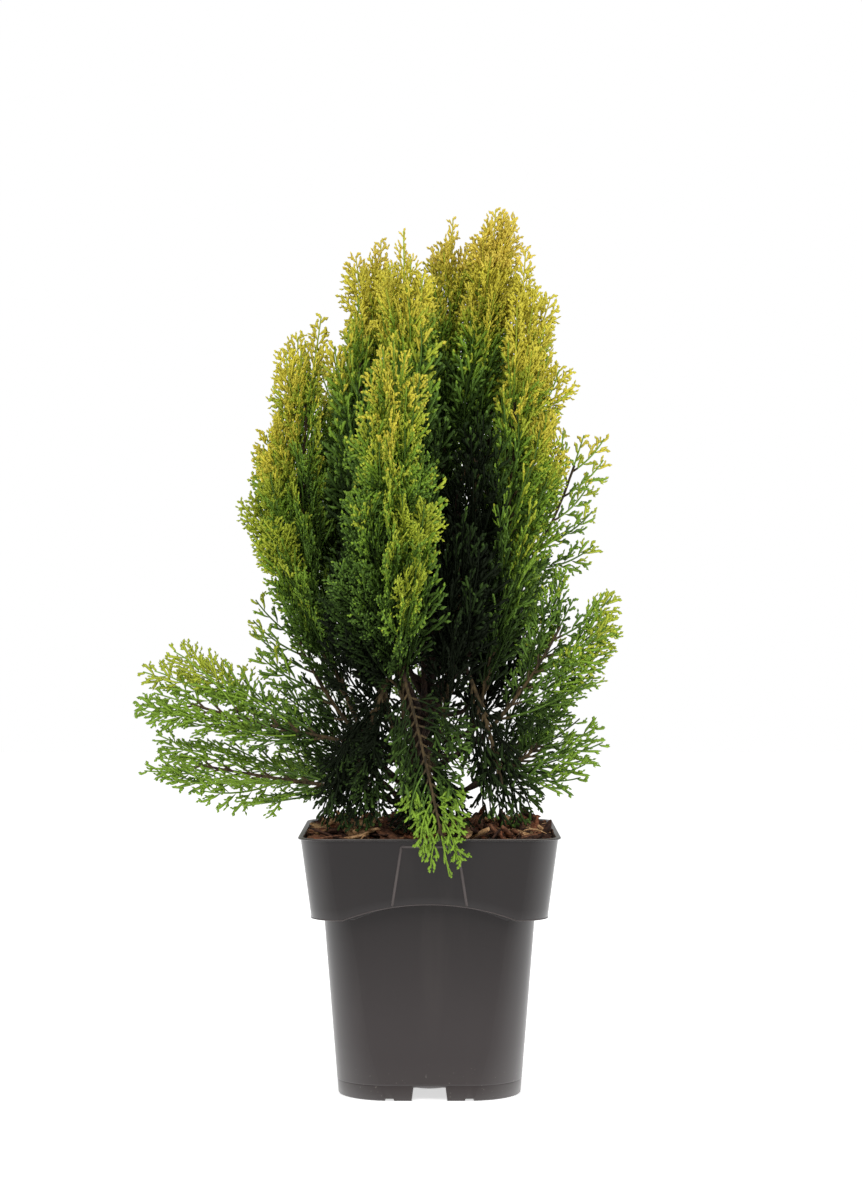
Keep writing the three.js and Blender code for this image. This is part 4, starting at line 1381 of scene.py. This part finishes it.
class Twigs:
    """Many twigs as arrays: each has a foot, a heading, a way across in its spray's plane, a length,
    a half width, a bend sideways as a share of its length, and a lightness."""

    PARTS = ("foot", "heading", "across", "length", "half", "bend", "light")

    def __init__(self, foot, heading, across, *numbers):
        self.foot = foot
        self.heading = heading
        self.across = across
        numbers = (np.broadcast_to(value, len(foot)).astype(float) for value in numbers)
        self.length, self.half, self.bend, self.light = numbers

    @classmethod
    def joined(cls, many):
        return cls(*(np.concatenate([getattr(each, part) for each in many]) for part in cls.PARTS))

    def chosen(self, mask):
        return Twigs(*(getattr(self, part)[mask] for part in self.PARTS))

    def tips(self):
        return self.foot + (self.heading + self.across * self.bend[:, None]) * self.length[:, None]

    def skin(self, stations, widths, sides):
        """Points and faces: each twig runs from its foot through flattened rings to its tip."""
        turns = np.arange(sides) * 2 * math.pi / sides + math.pi
        normal = np.cross(self.heading, self.across)
        length, half, bend = (value[:, None] for value in (self.length, self.half, self.bend))
        rings = [self.foot[:, None]]
        for station, width in zip(stations, widths):
            middle = self.foot + self.heading * length * station + self.across * length * bend * station**2
            flat = self.across[:, None] * np.cos(turns)[:, None] * (half * width)[:, None]
            thick = normal[:, None] * np.sin(turns)[:, None] * (half * width * FLATNESS)[:, None]
            rings.append(middle[:, None] + flat + thick)
        points = np.concatenate([*rings, self.tips()[:, None]], axis=1)
        per = points.shape[1]
        last = per - 1 - sides
        faces = []
        for side in range(sides):
            after = (side + 1) % sides
            faces.append((0, 1 + after, 1 + side))
            for ring in range(1, last, sides):
                a, b = ring + side, ring + after
                faces += [(a, b, b + sides), (a, b + sides, a + sides)]
            faces.append((last + side, last + after, per - 1))
        faces = np.array(faces)[None] + (np.arange(len(self.foot)) * per)[:, None, None]
        return points.reshape(-1, 3), faces.reshape(-1, 3)


def crown_radius(height):
    """How wide the crown is at a height."""
    share = (height - CROWN["widest"]) / CROWN["half_height"]
    return CROWN["radius"] * np.sqrt(np.clip(1 - share**2, 0.05, 1))


def outerness(points):
    """0 on the pot's axis, and 1 at the crown's surface."""
    return np.hypot(points[..., 0], points[..., 1]) / crown_radius(points[..., 2])


def over_rim(points):
    """Height over the pot, as a share of the plant's own height."""
    return np.clip((points[:, 2] - CROWN["rim"]) / CROWN["height"], 0, 1)


def by_name(table, index, otherwise):
    """A plume's value in a table whose keys are the starts of plumes' names."""
    return next((value for name, value in table.items() if MASSES[index].startswith(name)), otherwise)


def front_light(points, index):
    """Painted light and shade: the crown's front is lighter and darker by stretches, and the drooping spray
    is darker where it starts.
    """
    x, y, z = points.T
    if MASSES[index] == "front_droop":
        return np.where(z > DROOP_SHADE["above"], DROOP_SHADE["gain"], 0)
    gained = np.zeros(len(points))
    for middle, half, low, high, gain in STRETCHES:
        inside = (y < 0) & (z > low) & (z < high)
        gained += np.where(inside, gain * np.exp(-(((x - middle) / half) ** 2)), 0)
    return gained


def lightness(points, tipness, index):
    """From 0, deep green in the shade, to 1, amber at the sunniest tips."""
    height = over_rim(points)
    out = np.clip(outerness(points), 0, 1.1)
    shaded = LIGHT["outwards"] * (out - LIGHT["surface"]) * (1 - height**4)
    # own: a plume's painted light and shade, from SUNNIER.
    own = by_name(SUNNIER, index, 0)
    tips = (LIGHT["tips"] + LIGHT["tips_at_top"] * height**2) * tipness ** LIGHT["tip_power"]
    high_up = LIGHT["top"] * height ** LIGHT["top_power"]
    return LIGHT["least"] + high_up + tips + shaded + own + front_light(points, index)


def dealt(light, points):
    """The number of each twig's tint. None turns gold low on the plant."""
    most = LIGHTEST["at_rim"] + LIGHTEST["more_at_top"] * over_rim(points) ** LIGHTEST["power"]
    return np.searchsorted(TINT_STEPS, np.minimum(light, most))


def side_twigs(spray, index, draw, spacing, half):
    """A spray's side twigs, which alternate along its rib and curve forward."""
    first = SIDE_GROWTH["first"]
    count = max(SIDE_GROWTH["fewest"], int(spray.length * (1 - first) / spacing))
    share = (np.arange(count) + draw.uniform(*SIDE_GROWTH["place"], count)) / count
    side = np.where(np.arange(count) % 2, 1, -1) * (1 if spray.number % 2 else -1)
    x, y, turn = spray.rib(mix(first, 1, share) * spray.length)
    length = spray.width * spray.length * spray_outline(share) * draw.uniform(*SIDE_GROWTH["length"], count)
    length = np.maximum(length, SIDE_GROWTH["shortest"])
    angle = turn + side * np.radians(SPRAY["tooth_angle"] + draw.normal(0, CHANCE["angle"], count))
    plane = np.stack([spray.along, spray.rise, spray.across])
    tilt = draw.normal(0, CHANCE["tilt"], count) - SIDE_GROWTH["dip"]
    heading = unit(np.stack([np.cos(angle), np.sin(angle), tilt], axis=1) @ plane)
    roll = draw.normal(0, CHANCE["roll"], count)
    across = np.stack([-np.sin(angle), np.cos(angle), roll], axis=1) @ plane
    across = unit(across - heading * np.sum(heading * across, axis=1, keepdims=True))
    foot = spray.in_space(x, y)
    light = lightness(foot, mix(*SIDE_GROWTH["tipness"], share), index)
    light = light + draw.normal(0, CHANCE["light"], count) + draw.normal(0, CHANCE["spray"])
    bend = -side * draw.uniform(*SIDE_GROWTH["bend"], count)
    return Twigs(foot, heading, across, length, half * SIDE_GROWTH["slimmer"], bend, light)


def offshoots(twigs, draw, spacing, splay, length, half, lighter):
    """Shorter twigs, alternate along longer ones. length(parents, places) gives how long each grows."""
    each = np.maximum((twigs.length / spacing).astype(int), 1)
    owner = np.repeat(np.arange(len(each)), each)
    order = np.concatenate([np.arange(n) for n in each])
    place = (order + OFFSHOOT["first"]) / (each[owner] + OFFSHOOT["end"])
    side = np.where((order + owner) % 2, 1.0, -1.0)[:, None]
    parents = twigs.chosen(owner)
    at, bend = place[:, None], parents.bend[:, None]
    along = parents.heading * at + parents.across * bend * at**2
    foot = parents.foot + along * parents.length[:, None]
    heading = unit(parents.heading + parents.across * 2 * bend * at)
    across = unit(parents.across - heading * np.sum(heading * parents.across, axis=1, keepdims=True))
    total = len(owner)
    angle = np.radians(splay + draw.normal(0, CHANCE["splay"], total))[:, None]
    lift = np.cross(heading, across) * draw.normal(0, CHANCE["lift"], (total, 1))
    new_heading = unit(heading * np.cos(angle) + side * across * np.sin(angle) + lift)
    new_across = unit(across * np.cos(angle) - side * heading * np.sin(angle))
    grown = length(parents.length, place) * draw.uniform(*OFFSHOOT["length"], total)
    light = parents.light + lighter * place + draw.normal(0, CHANCE["light"], total)
    bend = -side[:, 0] * draw.uniform(*OFFSHOOT["bend"], total)
    half = half * draw.uniform(*OFFSHOOT["half"], total)
    return Twigs(foot, new_heading, new_across, grown, half, bend, light)


def branchlet_length(parent, place):
    """Branchlets get shorter towards the tip of the side twig that they grow on."""
    least, most = BRANCHLET_GROWTH["shortest"], BRANCHLET_GROWTH["longest"]
    return np.clip(BRANCHLET_GROWTH["share"] * parent * (1 - place) + least, least, most)


def lobe_length(parent, place):
    return LOBE_GROWTH["shortest"] + LOBE_GROWTH["share"] * parent


def grow_spray(settings, index, spray):
    """One spray as orders of twigs: side twigs, branchlets along those, and lobes on the longer
    branchlets. Inside the crown it is plainer, and has no lobes."""
    draw = np.random.default_rng((settings.seed, index, spray.number + 1))
    x, y, _ = spray.rib(spray.length * 0.8)
    end = spray.in_space(x, y)
    plain_one = outerness(end) < PLAIN["inside"] and end[2] < PLAIN["below"]
    low_down = np.clip((OTHER_LACE["from"] - end[2]) / OTHER_LACE["over"], 0, 1)
    other_lace = PLAIN["lace"] if plain_one else OTHER_LACE["even"] + OTHER_LACE["low_down"] * low_down
    coarse = by_name(LACE, index, other_lace)
    half = settings.branchlet_width / MM / 2 * (PLAIN["stouter"] if plain_one else 1)
    twigs = side_twigs(spray, index, draw, settings.twig_spacing / MM * coarse, half)
    splay, lighter = BRANCHLET_GROWTH["splay"], BRANCHLET_GROWTH["lighter"]
    spacing = settings.branchlet_spacing / MM * coarse
    branchlets = offshoots(twigs, draw, spacing, splay, branchlet_length, half, lighter)
    longer = branchlets.chosen(branchlets.length > LOBES_FROM)
    if plain_one or len(longer.foot) == 0:
        return twigs, branchlets
    spacing, splay, lighter = (LOBE_GROWTH[part] for part in ("spacing", "splay", "lighter"))
    half *= LOBE_GROWTH["slimmer"]
    return twigs, branchlets, offshoots(longer, draw, spacing, splay, lobe_length, half, lighter)


def grow_all(settings):
    """Every spray's twigs, gathered by order, without those that touch a limb or the pot."""
    orders = ([], [], [])
    for index, spray in all_sprays():
        for many, twigs in zip(orders, grow_spray(settings, index, spray)):
            many.append(twigs)
    for kind, many in zip((SIDE_TWIG, BRANCHLET, LOBE), orders):
        twigs = Twigs.joined(many)
        yield kind, twigs.chosen(clear_of_limbs(twigs.tips(), CLEAR["twig"]))


def green_ribs():
    """The green outer part of each spray's rib, with the number of its tint."""
    for index, spray in all_sprays():
        share = np.linspace(WOODY_SHARE, 1, 9)
        x, y, _ = spray.rib(share * spray.length)
        line = spray.in_space(x, y)
        middle = line[4:5]
        light = lightness(middle, np.array([RIB_LIGHT["tipness"]]), index) - RIB_LIGHT["darker"]
        shape = Shape()
        shape.add_tube(line, rib_radius(spray, share), 4, closed=False)
        faces = shape.faces[0]
        triangles = np.concatenate([faces[:, [0, 1, 2]], faces[:, [0, 2, 3]]])
        yield int(dealt(light, middle)[0]), (np.concatenate(shape.points), triangles)


def in_pieces(skins):
    """Joins skins into as few meshes as stay under the triangle limit."""
    starts = np.cumsum([0] + [len(points) for points, _ in skins])
    points = np.concatenate([points for points, _ in skins])
    faces = np.concatenate([faces + start for (_, faces), start in zip(skins, starts)])
    for first in range(0, len(faces), PIECE_TRIANGLES):
        used, taken = np.unique(faces[first : first + PIECE_TRIANGLES], return_inverse=True)
        yield points[used], taken.reshape(-1, 3)


class THUJA_OT_foliage(Operator):
    """Grow every spray's green branchlets and deal them out by tint"""

    bl_idname = "thuja.foliage"
    bl_label = "Foliage"

    def execute(self, context):
        skins = [[] for _ in TINTS]
        for kind, twigs in grow_all(context.scene.thuja_plant):
            tint = dealt(twigs.light, twigs.foot)
            for number in np.unique(tint):
                skins[number].append(twigs.chosen(tint == number).skin(**kind))
        for number, rib in green_ribs():
            skins[number].append(rib)
        for (name, colour, slot), own_skins in zip(TINTS, skins):
            if not own_skins:
                continue
            material = scale_leaves(name, linear(colour), LEAF_GLOSS[slot])
            for piece, (points, faces) in enumerate(in_pieces(own_skins), 1):
                dress(mesh_object(f"{name}_{piece}", points, [faces]), material, slot, *MASSES)
        return {"FINISHED"}


# ---------- Stage ----------


# Each light: its place and size in metres, and its power as a share of the key light's.
LIGHTS = {
    "key": ((-0.5, -1.6, 1.7), 1.1, 1),
    "fill": ((1.3, -1.1, 0.9), 1.0, 0.4),
    "top": ((0.1, 0.2, 1.9), 1.2, 0.5),
}
LIT_POINT = (0, 0, 0.3)
FLOOR = {"half": 4000, "glow": 0.62}


class THUJA_OT_stage(Operator):
    """Set up the pale floor, the soft lights and the camera"""

    bl_idname = "thuja.stage"
    bl_label = "Stage"

    def execute(self, context):
        settings = context.scene.thuja_stage
        scene = context.scene
        half = FLOOR["half"]
        corners = [(-half, -half, 0), (half, -half, 0), (half, half, 0), (-half, half, 0)]
        floor = mesh_object("floor", corners, [np.array([[0, 1, 2, 3]])], smooth=False)
        floor.data.materials.append(plain("pale_floor", settings.floor, FLOOR["glow"]))
        floor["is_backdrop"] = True
        self.add_room(scene, settings.sky)
        for name, (place, size, share) in LIGHTS.items():
            self.add_light(name, place, size, settings.key * share)
        camera = bpy.data.objects.new("camera", bpy.data.cameras.new("camera"))
        scene.collection.objects.link(camera)
        camera.location = (settings.camera_side, -settings.camera_distance, settings.camera_height)
        camera.rotation_euler = (math.pi / 2, 0, 0)
        camera.data.sensor_fit = "VERTICAL"
        camera.data.sensor_height = 36
        camera.data.lens = settings.lens
        camera.data.clip_end = 50
        scene.camera = camera
        scene.view_settings.view_transform = "Standard"
        return {"FINISHED"}

    def add_room(self, scene, strength):
        """White air all round: it shows as pure white, and lights the plant more softly than it shows."""
        world = bpy.data.worlds.new("white_room")
        world.use_nodes = True
        tree = world.node_tree
        soft = tree.nodes["Background"]
        soft.inputs["Color"].default_value = (1, 1, 1, 1)
        soft.inputs["Strength"].default_value = strength
        shown = tree.nodes.new("ShaderNodeBackground")
        shown.inputs["Color"].default_value = (1, 1, 1, 1)
        choose = tree.nodes.new("ShaderNodeMixShader")
        tree.links.new(tree.nodes.new("ShaderNodeLightPath").outputs["Is Camera Ray"], choose.inputs[0])
        tree.links.new(soft.outputs[0], choose.inputs[1])
        tree.links.new(shown.outputs[0], choose.inputs[2])
        tree.links.new(choose.outputs[0], tree.nodes["World Output"].inputs["Surface"])
        scene.world = world

    def add_light(self, name, place, size, power):
        """A square soft light that looks at the plant's middle."""
        light = bpy.data.lights.new(name, "AREA")
        light.energy = power
        light.size = size
        made = bpy.data.objects.new(name, light)
        bpy.context.scene.collection.objects.link(made)
        made.location = place
        made.rotation_euler = (Vector(LIT_POINT) - made.location).to_track_quat("-Z", "Y").to_euler()


# ---------- Panel and registration ----------

OPERATORS = (THUJA_OT_pot, THUJA_OT_mulch, THUJA_OT_bark, THUJA_OT_twigs, THUJA_OT_foliage, THUJA_OT_stage)
SETTINGS = {
    "thuja_pot": PotSettings,
    "thuja_mulch": MulchSettings,
    "thuja_plant": PlantSettings,
    "thuja_stage": StageSettings,
}


class THUJA_PT_panel(Panel):
    """Every piece's operator and every setting"""

    bl_label = "Potted thuja"
    bl_idname = "THUJA_PT_panel"
    bl_space_type = "VIEW_3D"
    bl_region_type = "UI"
    bl_category = "Thuja"

    def draw(self, context):
        for operator in OPERATORS:
            self.layout.operator(operator.bl_idname)
        for name, group in SETTINGS.items():
            box = self.layout.box()
            for setting in group.__annotations__:
                box.prop(getattr(context.scene, name), setting)


def register():
    for group in (*SETTINGS.values(), *OPERATORS, THUJA_PT_panel):
        bpy.utils.register_class(group)
    for name, group in SETTINGS.items():
        setattr(bpy.types.Scene, name, PointerProperty(type=group))


def unregister():
    for name in SETTINGS:
        delattr(bpy.types.Scene, name)
    for group in reversed((*SETTINGS.values(), *OPERATORS, THUJA_PT_panel)):
        bpy.utils.unregister_class(group)


def main():
    """Builds everything in order, and works out the solids' box and the finished model's box."""
    register()
    bpy.ops.thuja.pot()
    bpy.ops.thuja.mulch()
    bpy.ops.thuja.bark()
    bpy.ops.thuja.twigs()
    bpy.ops.thuja.foliage()
    bpy.ops.thuja.stage()
    boxes = {"cad": CAD_BOX, "visual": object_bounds()}
    plain_boxes = {name: [[float(c) for c in corner] for corner in box] for name, box in boxes.items()}


if __name__ == "__main__":
    main()
